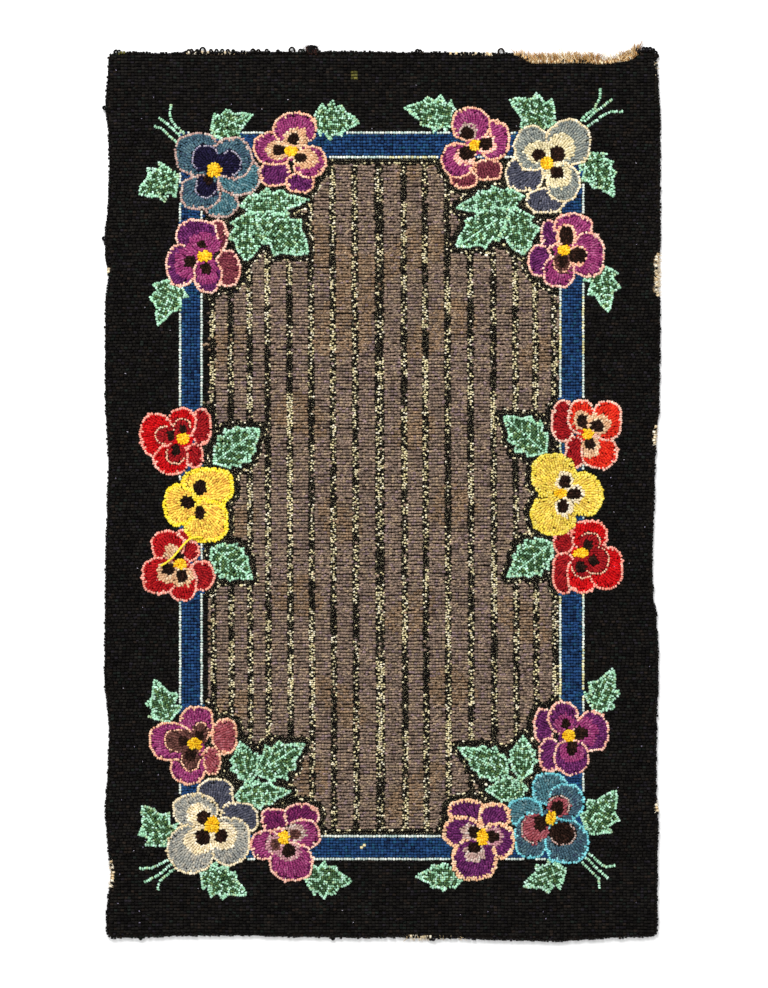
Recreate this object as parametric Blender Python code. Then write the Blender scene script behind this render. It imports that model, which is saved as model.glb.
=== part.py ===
"""A hand-hooked rug lying flat: wool loops on burlap, and one pulled end of yellow yarn on the pile.

Metres, +Z up. The long side runs along Y, with the end that lies uppermost at +Y. The origin is under
the middle of the rug, on the surface that it lies on.
"""

import math
from collections import namedtuple

import bmesh
import bpy
import numpy as np
from mathutils import Vector
from mathutils.geometry import interpolate_bezier

MM = 0.001

# Driving sizes of the rug
RUG_WIDTH = 0.6618
RUG_LENGTH = 1.0644
RUG_THICKNESS = 0.0070
BURLAP_THICKNESS = 0.0018
CORNER_RADIUS = 0.009
OUTLINE_STEP = 0.012
CORNER_STEPS = 6

# How the loops stand at the edge
PILE_FOOT_INSET = 0.0006
PILE_ROUND = 0.0022
BARE_EASE = 0.008

# The pulled end of yarn
YARN_DIAMETER = 0.0028
YARN_POINTS = 16
YARN_BEVEL_RESOLUTION = 2
YARN_HUMP = 0.0008
RESTING_GAP = 0.0003

# Each side of the rug, as uneven as it was made. `along` is the place on that side's axis and `out` is
# how far the edge stands out from the straight side, both in millimetres.
Edge = namedtuple("Edge", "along out")

BOTTOM_EDGE = (
    Edge(-326, 0.0),
    Edge(-278, -0.6),
    Edge(-248, -2.4),
    Edge(-170, -3.0),
    Edge(-98, -1.2),
    Edge(-38, 0.0),
    Edge(22, -0.6),
    Edge(82, 0.6),
    Edge(130, 2.4),
    Edge(214, 4.2),
    Edge(244, 2.4),
    Edge(274, 0.0),
    Edge(322, -1.2),
)
RIGHT_EDGE = (
    Edge(-526, 0.0),
    Edge(-441, 0.0),
    Edge(-398, 1.2),
    Edge(-355, -1.2),
    Edge(-254, -0.6),
    Edge(-240, 1.2),
    Edge(-199, 1.2),
    Edge(-139, -1.2),
    Edge(-124, -4.8),
    Edge(-81, -6.0),
    Edge(-52, -5.4),
    Edge(-7, -3.6),
    Edge(34, -3.0),
    Edge(77, 0.0),
    Edge(106, 2.4),
    Edge(221, 3.6),
    Edge(452, 3.6),
    Edge(495, 1.2),
    Edge(522, -1.2),
)
TOP_EDGE = (
    Edge(-324, -1.2),
    Edge(-302, 0.6),
    Edge(-266, -1.2),
    Edge(-230, 0.6),
    Edge(-98, 0.6),
    Edge(-38, 1.2),
    Edge(22, 0.0),
    Edge(82, 0.0),
    Edge(142, -1.2),
    Edge(190, -1.2),
    Edge(238, -0.6),
    Edge(268, -2.4),
    Edge(296, 2.4),
    Edge(322, 3.0),
)
LEFT_EDGE = (
    Edge(-524, 0.6),
    Edge(-499, 0.6),
    Edge(-484, -1.8),
    Edge(-456, -4.2),
    Edge(-412, -0.6),
    Edge(-385, 1.8),
    Edge(-312, -1.8),
    Edge(-283, -3.0),
    Edge(-254, -0.6),
    Edge(-225, 3.0),
    Edge(-175, 2.4),
    Edge(-79, 1.2),
    Edge(-7, -0.6),
    Edge(34, -1.8),
    Edge(120, 1.8),
    Edge(236, 1.8),
    Edge(250, -0.6),
    Edge(264, -3.0),
    Edge(279, 1.8),
    Edge(308, 2.4),
    Edge(353, -1.8),
    Edge(394, -3.0),
    Edge(437, -1.8),
    Edge(466, 1.8),
    Edge(516, -1.8),
)

# Stretches where the outermost loops are worn away and the burlap lies bare, in millimetres
Bare = namedtuple("Bare", "side start end width")

BARE_STRETCHES = (
    Bare("top", 165, 308, 9.0),
    Bare("right", 239, 290, 4.0),
    Bare("right", 59, 83, 2.4),
    Bare("left", -470, -438, 2.4),
)

# The route of the pulled end of yarn over the pile, from the flower to its tip, in millimetres
YARN_ROUTE = (
    (-214.8, -51.0),
    (-222.0, -50.6),
    (-228.0, -51.8),
    (-234.0, -55.4),
    (-241.0, -63.2),
    (-250.6, -74.4),
    (-259.2, -81.4),
    (-265.8, -85.2),
)

PILE_COLOUR = (0.030, 0.024, 0.022)
PILE_ROUGHNESS = 0.95
YARN_COLOUR = (0.80, 0.62, 0.06)
YARN_ROUGHNESS = 0.9


def clear_scene():
    for obj in list(bpy.data.objects):
        bpy.data.objects.remove(obj, do_unlink=True)


def material(name, colour, roughness):
    made = bpy.data.materials.new(name)
    made.use_nodes = True
    shader = made.node_tree.nodes["Principled BSDF"]
    shader.inputs["Base Color"].default_value = (*colour, 1.0)
    shader.inputs["Roughness"].default_value = roughness
    shader.inputs["Metallic"].default_value = 0.0
    made.diffuse_color = (*colour, 1.0)
    return made


def eased(share):
    """0 to 1 with no corner at either end."""
    return 0.5 - 0.5 * math.cos(math.pi * min(max(share, 0.0), 1.0))


def edge_departure(edge, along):
    """How far this side stands out at `along`, in metres, running smoothly from row to row."""
    place = along / MM
    if place <= edge[0].along:
        return edge[0].out * MM
    for here, beyond in zip(edge, edge[1:]):
        if place <= beyond.along:
            share = (place - here.along) / (beyond.along - here.along)
            return (here.out + (beyond.out - here.out) * eased(share)) * MM
    return edge[-1].out * MM


def bare_width(side, along):
    """How wide the bare burlap is at `along` on a side, in metres."""
    widest = 0.0
    for stretch in BARE_STRETCHES:
        if stretch.side != side:
            continue
        from_start = (along - stretch.start * MM) / BARE_EASE
        from_end = (stretch.end * MM - along) / BARE_EASE
        widest = max(widest, stretch.width * MM * eased(min(from_start, from_end)))
    return widest


def side_stations(side, edge, middle, tangent, outward, length):
    """Points along one side between its corners, in the order of travel: (point, outward, bare)."""
    half = length / 2 - CORNER_RADIUS
    count = round(2 * half / OUTLINE_STEP)
    heading = tangent.x + tangent.y
    for travelled in np.linspace(-half, half, count + 1):
        along = travelled * heading
        departure = edge_departure(edge, along)
        yield middle + tangent * travelled + outward * departure, outward, bare_width(side, along)


def outline_stations():
    """The whole outline, anticlockwise from the bottom left corner."""
    half_width = RUG_WIDTH / 2
    half_length = RUG_LENGTH / 2
    right = Vector((1, 0))
    up = Vector((0, 1))
    sides = (
        ("bottom", BOTTOM_EDGE, -up * half_length, right, -up, RUG_WIDTH),
        ("right", RIGHT_EDGE, right * half_width, up, right, RUG_LENGTH),
        ("top", TOP_EDGE, up * half_length, -right, up, RUG_WIDTH),
        ("left", LEFT_EDGE, -right * half_width, -up, -right, RUG_LENGTH),
    )
    runs = [list(side_stations(*side)) for side in sides]
    stations = []
    for run, following in zip(runs, runs[1:] + runs[:1]):
        stations.extend(run)
        stations.extend(corner_stations(run[-1], following[0]))
    return stations


def corner_stations(before, after):
    """A rounded corner between the last point of one side and the first point of the next."""
    start, start_outward, _ = before
    end, end_outward, _ = after
    reach = 0.55 * CORNER_RADIUS
    handle_in = start + end_outward * reach
    handle_out = end + start_outward * reach
    curve = interpolate_bezier(start, handle_in, handle_out, end, CORNER_STEPS + 1)
    for step in range(1, CORNER_STEPS):
        turned = start_outward.lerp(end_outward, step / CORNER_STEPS).normalized()
        yield curve[step].to_2d(), turned, 0.0


def centred(stations):
    """The stations moved so that their box is centred on the origin."""
    points = np.array([point for point, _, _ in stations])
    middle = Vector((points.min(axis=0) + points.max(axis=0)) / 2)
    return [(point - middle, outward, bare) for point, outward, bare in stations], middle


def add_ring(mesh, stations, height, inset, follow_bare):
    ring = []
    for point, outward, bare in stations:
        place = point - outward * (inset + (bare if follow_bare else 0.0))
        ring.append(mesh.verts.new((place.x, place.y, height)))
    return ring


def bridge(mesh, lower, upper):
    count = len(lower)
    for i in range(count):
        j = (i + 1) % count
        mesh.faces.new((lower[i], lower[j], upper[j], upper[i]))


def build_rug(stations):
    """One flat solid: burlap to the outline, and the pile on it with a rounded upper edge."""
    shoulder = RUG_THICKNESS - PILE_ROUND
    mesh = bmesh.new()
    rings = [
        add_ring(mesh, stations, 0.0, 0.0, False),
        add_ring(mesh, stations, BURLAP_THICKNESS, 0.0, False),
        add_ring(mesh, stations, BURLAP_THICKNESS, PILE_FOOT_INSET, True),
        add_ring(mesh, stations, shoulder, PILE_FOOT_INSET, True),
    ]
    for angle in (30, 60, 90):
        turn = math.radians(angle)
        height = shoulder + PILE_ROUND * math.sin(turn)
        inset = PILE_FOOT_INSET + PILE_ROUND * (1 - math.cos(turn))
        rings.append(add_ring(mesh, stations, height, inset, True))
    for lower, upper in zip(rings, rings[1:]):
        bridge(mesh, lower, upper)
    mesh.faces.new(rings[-1])
    mesh.faces.new(list(reversed(rings[0])))
    bmesh.ops.recalc_face_normals(mesh, faces=mesh.faces)
    data = bpy.data.meshes.new("hooked_rug")
    mesh.to_mesh(data)
    mesh.free()
    rug = bpy.data.objects.new("hooked_rug", data)
    bpy.context.collection.objects.link(rug)
    data.materials.append(material("hooked wool pile", PILE_COLOUR, PILE_ROUGHNESS))
    return rug


def smooth_route(route, count):
    """`count` points evenly spaced along a smooth curve through the route's points."""
    ends = [2 * route[0] - route[1], *route, 2 * route[-1] - route[-2]]
    dense = []
    for before, start, end, after in zip(ends, ends[1:], ends[2:], ends[3:]):
        handle_in = start + (end - before) / 6
        handle_out = end - (after - start) / 6
        dense.extend(interpolate_bezier(start, handle_in, handle_out, end, 12)[:-1])
    dense.append(route[-1])
    points = np.array(dense)
    run = np.concatenate([[0.0], np.cumsum(np.linalg.norm(np.diff(points, axis=0), axis=1))])
    wanted = np.linspace(0.0, run[-1], count)
    return np.column_stack([np.interp(wanted, run, points[:, axis]) for axis in range(3)])


def build_loose_yarn(middle):
    """The pulled end of yarn lies on the pile, a little higher in the middle of its run."""
    lying = RUG_THICKNESS + RESTING_GAP + YARN_DIAMETER / 2
    route = []
    for index, (x, y) in enumerate(YARN_ROUTE):
        hump = YARN_HUMP * math.sin(math.pi * index / (len(YARN_ROUTE) - 1))
        route.append(Vector((x * MM - middle.x, y * MM - middle.y, lying + hump)))
    curve = bpy.data.curves.new("loose_yarn", "CURVE")
    curve.dimensions = "3D"
    curve.bevel_depth = YARN_DIAMETER / 2
    curve.bevel_resolution = YARN_BEVEL_RESOLUTION
    curve.use_fill_caps = True
    spline = curve.splines.new("POLY")
    points = smooth_route(route, YARN_POINTS)
    spline.points.add(len(points) - 1)
    for target, place in zip(spline.points, points):
        target.co = (*place, 1.0)
    yarn = bpy.data.objects.new("loose_yarn", curve)
    bpy.context.collection.objects.link(yarn)
    curve.materials.append(material("yellow yarn", YARN_COLOUR, YARN_ROUGHNESS))
    return yarn


def main():
    clear_scene()
    stations, middle = centred(outline_stations())
    build_rug(stations)
    build_loose_yarn(middle)


main()
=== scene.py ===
import math
from collections import namedtuple

import bmesh
import bpy
import numpy as np
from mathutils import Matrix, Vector


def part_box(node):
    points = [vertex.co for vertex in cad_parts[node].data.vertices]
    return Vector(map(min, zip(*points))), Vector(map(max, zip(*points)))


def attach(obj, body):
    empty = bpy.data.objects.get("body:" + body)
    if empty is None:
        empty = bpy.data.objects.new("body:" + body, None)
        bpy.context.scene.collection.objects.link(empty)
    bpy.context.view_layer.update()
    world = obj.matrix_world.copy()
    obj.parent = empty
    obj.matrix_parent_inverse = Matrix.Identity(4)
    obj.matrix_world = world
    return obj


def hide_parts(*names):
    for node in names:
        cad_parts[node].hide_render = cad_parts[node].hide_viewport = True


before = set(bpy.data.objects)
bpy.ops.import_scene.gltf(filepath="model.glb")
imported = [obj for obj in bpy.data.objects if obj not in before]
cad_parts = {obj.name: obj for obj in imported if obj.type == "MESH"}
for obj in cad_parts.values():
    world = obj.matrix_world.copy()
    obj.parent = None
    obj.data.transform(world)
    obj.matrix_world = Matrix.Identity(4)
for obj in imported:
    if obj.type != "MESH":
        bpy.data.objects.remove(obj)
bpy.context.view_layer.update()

# Layout, in millimetres from the middle of the rug, +Y towards its upper edge
SEED = 41
CHANCE = np.random.default_rng(SEED)
NOWHERE = (1e9, 1e9)
EVERYWHERE = (-999, 999, -999, 999)

# How far apart loops are along a row, and rows from each other
COLUMN_PITCH = 4.2
ROW_PITCH = 3.64
SIDE_PITCH = 4.7
FIELD_PITCH = 3.6
FINE_PITCH = 2.65
RIM_PITCH = 2.45
SPECK_PITCH = 2.45
BEAD_PITCH = 3.3
EDGE_PITCH = 3.35
STEM_PITCH = 2.7
BAND_COLUMN_PITCH = 3.6

# How far inside a motif's rim its outline rows lie, and how far their loops stray
RIM_INSET = 1.8
SECOND_INSET = 4.1
LEAF_INSET = 1.3
RIM_JITTER = 0.32

# How far outside a motif its rings in the field lie, and their shares of cream loops
RING_ROWS = (1.6, 4.1, 6.4)
RING_CREAM = (0.0, 0.08, 0.34)

# The side of the squares that the loops are sorted into, to find the near ones
CELL = 3.0

# Half the length and half the width of each kind of loop
BORDER_LOOP = (3.2, 2.35)
FIELD_LOOP = (2.85, 1.8)
BAND_LOOP = (2.4, 2.05)
FINE_LOOP = (2.35, 1.95)
RIM_LOOP = (2.15, 1.75)
INNER_RIM_LOOP = (1.55, 1.5)
LEAF_LOOP = (1.9, 1.5)
SPECK_LOOP = (1.7, 1.25)
BEAD_LOOP = (2.0, 2.0)
STEM_LOOP = (2.3, 1.6)

# How near a loop's middle may lie to another's, by the rows that it belongs to
RIM_ROOM = 1.95
STEM_ROOM = 1.8
FILL_ROOM = 2.15
RING_ROOM = 2.1
BEAD_ROOM = 2.3
EDGE_ROOM = 2.3
GRID_ROOM = 2.75
END_ROOM = 2.5
SPECK_ROOM = 1.9
FIELD_ROOM = 2.1
HOLE_ROOM = 2.05
WIDE_HOLE_ROOM = 2.4

# How far the rays of a flower's loops and the rows of a leaf's reach from its heart or foot
RAY_REACH = 64.0
LEAF_REACH = 76

BAND_OUTER = (-242.7, 241.5, -436.7, 435.6)
BAND_INNER = (-216.9, 213.9, -409.2, 406.2)
FIELD = (-214.6, 211.6, -407.4, 404.4)
FIELD_ROWS = (-402.0, 399.0)
STRIPE_LINES = (
    -204.3, -182.7, -159.9, -138.3, -111.9, -86.0, -59.9, -33.2, -4.1,
    25.7, 50.9, 77.7, 105.3, 132.9, 159.3, 183.3, 206.1,
)
WIDE_LINE = -4.1
LINE_DRIFT = 2.4
LINE_COLUMNS = (-2.45, 0.0, 2.45)
WIDE_COLUMNS = (-4.0, -1.35, 1.35, 4.0)
OUTER_COLUMNS = (-213.4, -210.2, 210.6)
BORDER_HALF = (333.0, 534.0)

# The squares in which bare places are looked for, and the half-size of the area searched
HOLE_STEP = 1.2
HOLE_HALF = (336, 538)

# Wools, as the colours that each one's lengths were dyed and their shares
WOOLS = {
    "black": (("1a1816", 8), ("141212", 4), ("1f1c20", 1), ("1a1e1b", 1), ("231d19", 1)),
    "taupe": (("867264", 4), ("77675b", 3), ("927e68", 2), ("816d6c", 1), ("69584e", 1)),
    "rust taupe": (("8a7159", 3), ("7c6753", 3), ("927c64", 1)),
    "olive": (("6f6a34", 3), ("5c5a30", 2)),
    "cream": (("efe3bb", 5), ("e0d3a2", 3), ("f8efd6", 2), ("b5a67c", 1)),
    "navy": (("1c1830", 6), ("161426", 3), ("282445", 1)),
    "band blue": (("213e68", 4), ("1d3658", 3), ("284c78", 2), ("214a66", 1), ("182846", 1)),
    "bead grey": (("ccd6cc", 5), ("b3c6bd", 3), ("e2e6da", 2)),
    "bead straw": (("dcd6a4", 5), ("cbc592", 3), ("e8e6c8", 2)),
    "mint": (("acdabb", 5), ("93c3a0", 3), ("c6ead6", 2), ("b0cda2", 1)),
    "moss": (("4e6c49", 4), ("3b5939", 4), ("627d4b", 2)),
    "magenta": (("953c6d", 5), ("833060", 3), ("a4547d", 2)),
    "berry": (("702654", 4), ("5f204c", 3), ("802e5f", 2)),
    "plum": (("63295c", 5), ("501f4b", 3), ("77336a", 2)),
    "maroon": (("73343f", 5), ("602833", 3), ("834449", 2)),
    "peach": (("ebb596", 5), ("f1c6a8", 3), ("da9c7e", 1)),
    "pink": (("ecb9a6", 5), ("e4a691", 2), ("f3ceba", 2)),
    "salmon": (("f2a594", 5), ("ea937f", 3), ("f7bcaa", 2)),
    "gold": (("ecbc22", 5), ("f4cb3c", 3), ("e0a51c", 2)),
    "yellow": (("f4da3b", 5), ("fae65e", 3), ("e8c92c", 2)),
    "straw": (("ecc450", 5), ("f4d85c", 3), ("d9a646", 3)),
    "scarlet": (("bc1014", 5), ("ca191d", 3), ("a70e14", 2)),
    "crimson": (("951a1f", 5), ("a31f22", 3), ("7e151b", 2)),
    "cherry": (("a7171d", 5), ("b31f21", 3), ("911418", 2)),
    "ember": (("cf2b1c", 5), ("dc3b24", 3), ("bb221a", 2)),
    "slate blue": (("45606e", 4), ("3a5360", 3), ("567179", 2), ("3b485c", 1)),
    "teal": (("4c757e", 5), ("3d616b", 3), ("68868b", 2)),
    "grey": (("8d9189", 4), ("7d837e", 3), ("9c9c90", 2), ("6d7373", 1)),
    "stone": (("a2a096", 4), ("90918b", 3), ("b4ad9e", 2), ("7e7f7e", 1)),
    "dark slate": (("50515f", 5), ("424451", 3), ("61616b", 2)),
    "dusty rose": (("9b4e55", 5), ("894047", 3), ("a76168", 2)),
    "bark": (("261813", 5), ("1c120e", 3), ("36221b", 2)),
    "brown": (("5e3c36", 5), ("724a44", 3), ("4a2e2a", 2)),
    "aqua": (("7ecad1", 5), ("67b8c2", 3), ("9ad9dc", 2)),
    "lilac": (("a49eac", 6), ("8e869f", 3)),
    "ash pink": (("bea297", 5), ("ad8c83", 3), ("cabaaf", 2)),
    "ivory": (("e8d8b6", 5), ("dccaa2", 3), ("f2e6ce", 2)),
    "rose ash": (("bd8b90", 4), ("ac7882", 3), ("cdaba6", 2)),
    "tan": (("b88b52", 4), ("936233", 4), ("d9bd90", 3), ("c9a26c", 2)),
    "linen": (("e6d2ae", 4), ("d6bb90", 3), ("f4e9d2", 3)),
    "sand": (("d8ae88", 5), ("cb9d76", 3), ("e6cba8", 2)),
    "buff": (("dccfa8", 5), ("cdc097", 3), ("eae0c2", 2)),
    "apricot": (("efc29a", 5), ("e4b18a", 3), ("f5d3b0", 2)),
    "lemon": (("e3c84f", 5), ("ebd264", 3), ("d2b04c", 3)),
    "pale yellow": (("ebd556", 5), ("f1de73", 3), ("dfc544", 2)),
}
WOOL_NAMES = list(WOOLS)

Part = namedtuple("Part", "kind x y rx ry wool edge", defaults=(None,))
Run = namedtuple("Run", "kind wool ovals edge", defaults=(None,))

# Flowers: where the heart lies, the wool of the outline, and the parts from the lowest up. A run is
# parts of one kind and wool, each an oval given by its place from the heart and its two half-widths
FLOWERS = (
    ((-201.9, 391.8), "ash pink", (
        Run("petal", "teal", ((30, -8, 26, 25), (8, -42, 22, 17))),
        Run("petal", "slate blue", ((-20, 18, 28, 27), (22, 13, 25, 26), (-17, -29, 25, 21))),
        Run("inner", "navy", ((-10, 13, 18, 17), (19, 7, 15, 16), (-10, -22, 14, 14)), "lilac"),
        Run("eye", "bark", ((-7, -12, 5, 6),)),
        Run("heart", "gold", ((0, -1, 9, 9),)),
    )),
    ((-109.5, 414.6), "peach", (
        Run("block", "plum", ((-19, -29, 19, 15),)),
        Run("petal", "plum", ((11, -39, 18, 13),)),
        Run("petal", "magenta", ((-21, 2, 25, 21), (5, 26, 27, 20), (22, -14, 21, 20))),
        Run("inner", "sand", ((6, 14, 14, 13), (-16, 0, 15, 12), (17, -10, 16, 12))),
        Run("eye", "bark", ((3, 13, 6, 7), (-14, 0, 7, 6), (11, -9, 7.5, 5.5))),
        Run("heart", "gold", ((0, -1, 8, 6),)),
    )),
    ((-214.5, 287.4), "pink", (
        Run("petal", "maroon", ((17, 24, 13, 20), (29, -15, 16, 23))),
        Run("petal", "plum", ((-8, 24, 26, 21),)),
        Run("inner", "magenta", ((0, 13, 20, 15),)),
        Run("eye", "bark", ((-2, 14, 5, 5),)),
        Run("petal", "plum", ((-27, -11, 19, 26),)),
        Run("inner", "magenta", ((-20, -8, 15, 20),)),
        Run("eye", "bark", ((-16, -7, 7, 7),)),
        Run("petal", "plum", ((5, -23, 18, 22),)),
        Run("inner", "magenta", ((4, -18, 14, 17),)),
        Run("eye", "bark", ((3, -15, 6.5, 7),)),
        Run("heart", "gold", ((1, 0, 9, 6.5),)),
    )),
    ((197.7, 399.0), "ivory", (
        Run("petal", "dark slate", ((-27, -13, 24, 22), (-2, -45, 24, 16))),
        Run("petal", "grey", ((-18, 18, 22, 28), (26, 25, 28, 28), (20, -24, 21, 23))),
        Run("inner", "buff", ((-11, 13, 15, 14), (17, 18, 17, 18), (14, -15, 16, 15))),
        Run("eye", "bark", ((-9, 10, 8, 7), (13, 11, 8.5, 9), (12, -11, 8, 7.5))),
        Run("heart", "gold", ((0, 0, 7.5, 8),)),
    )),
    ((111.3, 421.8), "peach", (
        Run("block", "maroon", ((16, -31, 17, 13),)),
        Run("petal", "maroon", ((-13, -42, 17, 12),)),
        Run("petal", "magenta", ((-20, -19, 21, 22), (23, 5, 20, 25), (-5, 24, 24, 21))),
        Run("inner", "ash pink", ((-8, 15, 11, 10),)),
        Run("inner", "pink", ((15, 0, 12, 11), (-13, -15, 12, 11))),
        Run("eye", "bark", ((-9, 13, 8, 7.5), (13, 1, 8.5, 7.5), (-10, -11, 9, 8))),
        Run("heart", "gold", ((0, -1, 6, 7),)),
    )),
    ((218.1, 294.6), "pink", (
        Run("petal", "plum", ((-18, 19, 11, 18), (-29, -13, 15, 20))),
        Run("petal", "magenta", ((11, 27, 24, 18), (29, -6, 21, 28), (-6, -26, 20, 20))),
        Run("inner", "peach", ((2, 17, 13, 14), (18, -7, 11, 13))),
        Run("inner", "brown", ((-2, -15, 12, 13),), "peach"),
        Run("eye", "bark", ((3, 17, 8, 11), (17, -6, 10, 9), (-1, -13, 6, 8))),
        Run("heart", "gold", ((0, 0, 8, 6),)),
    )),
    ((-239.1, 69.0), "salmon", (
        Run("petal", "crimson", ((22, 13, 13, 23), (14, -22, 11, 16))),
        Run("petal", "scarlet", ((-1, 19, 18, 18), (-32, 4, 21, 27), (-14, -26, 22, 19))),
        Run("inner", "crimson", ((-22, 3, 13, 12), (-1, 13, 12, 12), (-9, -20, 13, 13)), "peach"),
        Run("eye", "bark", ((-15, 3, 5, 6), (0, 10, 5, 5), (-9, -15, 5, 6))),
        Run("heart", "gold", ((0, -1, 8, 7),)),
    )),
    ((-242.7, -83.4), "salmon", (
        Run("petal", "crimson", ((5, 36, 11, 8), (26, -13, 16, 19), (13, 17, 11, 13))),
        Run("petal", "cherry", ((-15, 24, 21, 18), (3, -21, 18, 24), (-24, -13, 23, 23))),
        Run("inner", "sand", ((-10, 16, 10, 9), (-15, -9, 13, 13), (4, -14, 12, 12))),
        Run("eye", "bark", ((-1, 10, 6, 5), (-14, -5, 8, 7), (2, -13, 6, 8))),
        Run("heart", "gold", ((0, 1, 8, 5.5),)),
    )),
    ((246.9, 75.0), "pink", (
        Run("petal", "crimson", ((-30, 14, 15, 26), (-15, -23, 13, 20))),
        Run("petal", "ember", ((-8, 19, 17, 22), (14, -23, 23, 21), (23, 15, 19, 25))),
        Run("inner", "sand", ((-7, 15, 11, 12), (14, 11, 14, 13), (4, -17, 11, 13))),
        Run("eye", "bark", ((-6, 14, 6, 8), (11, 9, 8, 7), (3, -13, 6, 7))),
        Run("heart", "gold", ((0, -1, 6.5, 6.5),)),
    )),
    ((237.3, -69.0), "salmon", (
        Run("petal", "crimson", ((-20, 12, 13, 14), (-19, -24, 15, 26))),
        Run("petal", "scarlet", ((11, 21, 23, 19), (3, -27, 20, 22), (31, -18, 22, 27))),
        Run("inner", "crimson", ((12, 13, 14, 13), (4, -17, 15, 15), (19, -9, 18, 18)), "peach"),
        Run("eye", "bark", ((10, 9, 6, 6), (16, -9, 6, 6), (1, -17, 7, 7))),
        Run("heart", "gold", ((1, 0, 8.5, 6),)),
    )),
    ((-224.7, -6.6), "yellow", (
        Run("petal", "straw", ((15, 17, 33, 24), (13, -24, 28, 27), (-18, -5, 21, 26))),
        Run("heart", "yellow", ((0, 2, 8, 8),)),
        Run("eye", "bark", ((6, 16, 7, 9), (-9, -2, 8.5, 7.5), (6, -14, 6, 9))),
    )),
    ((216.9, 3.0), "pale yellow", (
        Run("petal", "lemon", ((-11, 22, 28, 26), (-11, -25, 28, 27), (24, -2, 25, 27))),
        Run("inner", "ivory", ((2, 13, 11, 13), (15, 0, 12, 11), (2, -17, 11, 13))),
        Run("heart", "gold", ((-3, 0, 8, 6),)),
        Run("eye", "bark", ((2, 13, 7, 7.5), (14, -1, 8, 6.5), (0, -16, 6.5, 8))),
    )),
    ((-225.9, -298.2), "peach", (
        Run("petal", "dusty rose", ((37, 9, 16, 22), (21, -20, 12, 18))),
        Run("petal", "magenta", ((3, 25, 22, 21), (-7, -27, 22, 23), (-28, 3, 27, 24))),
        Run("inner", "brown", ((8, 13, 11, 14), (-4, -19, 13, 15), (-19, 4, 18, 15)), "peach"),
        Run("eye", "bark", ((-12, 3, 7, 6), (-4, -13, 7, 7), (7, 9, 5, 7))),
        Run("heart", "gold", ((1, 0, 9, 7),)),
    )),
    ((-205.5, -396.6), "ivory", (
        Run("petal", "dark slate", ((5, 37, 23, 21), (33, 8, 24, 22))),
        Run("petal", "stone", ((-19, 19, 28, 21), (22, -18, 26, 30), (-24, -28, 29, 30))),
        Run("inner", "ivory", ((-14, 14, 15, 14), (-15, -18, 18, 17), (15, -13, 16, 17))),
        Run("eye", "bark", ((-9, 10, 8, 8), (-10, -14, 9, 9), (12, -12, 8, 8))),
        Run("heart", "gold", ((1, 1, 9, 10),)),
    )),
    ((-117.9, -411.0), "pink", (
        Run("block", "berry", ((-11, 22, 17, 14),)),
        Run("petal", "berry", ((21, 27, 22, 15),)),
        Run("petal", "magenta", ((23, 4, 21, 19), (-21, -9, 20, 19), (9, -29, 27, 24))),
        Run("inner", "ash pink", ((13, 6, 13, 11),)),
        Run("inner", "rose ash", ((-12, -8, 11, 11), (6, -17, 15, 11))),
        Run("eye", "brown", ((13, 4, 6.5, 7), (-10, -8, 6, 7))),
        Run("eye", "bark", ((6, -15, 7.5, 8),)),
        Run("heart", "gold", ((0, 0, 6.5, 9),)),
    )),
    ((224.1, -288.6), "pink", (
        Run("petal", "plum", ((-30, 12, 13, 22), (-23, -23, 14, 21), (-7, 22, 19, 20))),
        Run("inner", "magenta", ((-5, 14, 12, 12),)),
        Run("eye", "bark", ((-4, 14, 4.5, 6.5),)),
        Run("petal", "plum", ((28, 5, 21, 25),)),
        Run("inner", "magenta", ((21, 4, 14, 18),)),
        Run("eye", "bark", ((14, 3, 8, 8),)),
        Run("petal", "plum", ((3, -26, 22, 22),)),
        Run("inner", "magenta", ((3, -19, 15, 13),)),
        Run("eye", "bark", ((4, -15, 6.5, 8),)),
        Run("heart", "gold", ((0, 0, 8.5, 7),)),
    )),
    ((203.7, -388.2), "aqua", (
        Run("petal", "teal", ((-2, 36, 23, 20), (-32, 8, 21, 18))),
        Run("petal", "slate blue", ((17, 20, 22, 23), (-25, -21, 21, 28), (18, -28, 27, 27))),
        Run("inner", "dusty rose", ((9, 15, 14, 14), (-21, -12, 17, 18)), "ash pink"),
        Run("inner", "bark", ((13, -18, 17, 15),), "ash pink"),
        Run("eye", "bark", ((7, 12, 7, 9), (-13, -5, 8.5, 9))),
        Run("heart", "gold", ((-1, 1, 6.5, 9),)),
    )),
    ((119.7, -409.8), "apricot", (
        Run("petal", "plum", ((-18, 31, 24, 15), (15, 24, 20, 18), (-24, 6, 24, 20))),
        Run("petal", "plum", ((20, -5, 20, 23), (-9, -27, 28, 27))),
        Run("inner", "ash pink", ((-15, 6, 12, 10),)),
        Run("inner", "rose ash", ((15, 0, 11, 12),)),
        Run("inner", "ash pink", ((-8, -20, 13, 11),)),
        Run("eye", "bark", ((-9, 6, 7, 7), (13, 0, 7, 7), (-9, -13, 7.5, 6.5))),
        Run("heart", "gold", ((1, -1, 7, 10),)),
    )),
)

LeafRow = namedtuple("LeafRow", "foot_x foot_y tip_x tip_y width bulge teeth cut veined", defaults=(False,))

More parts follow.
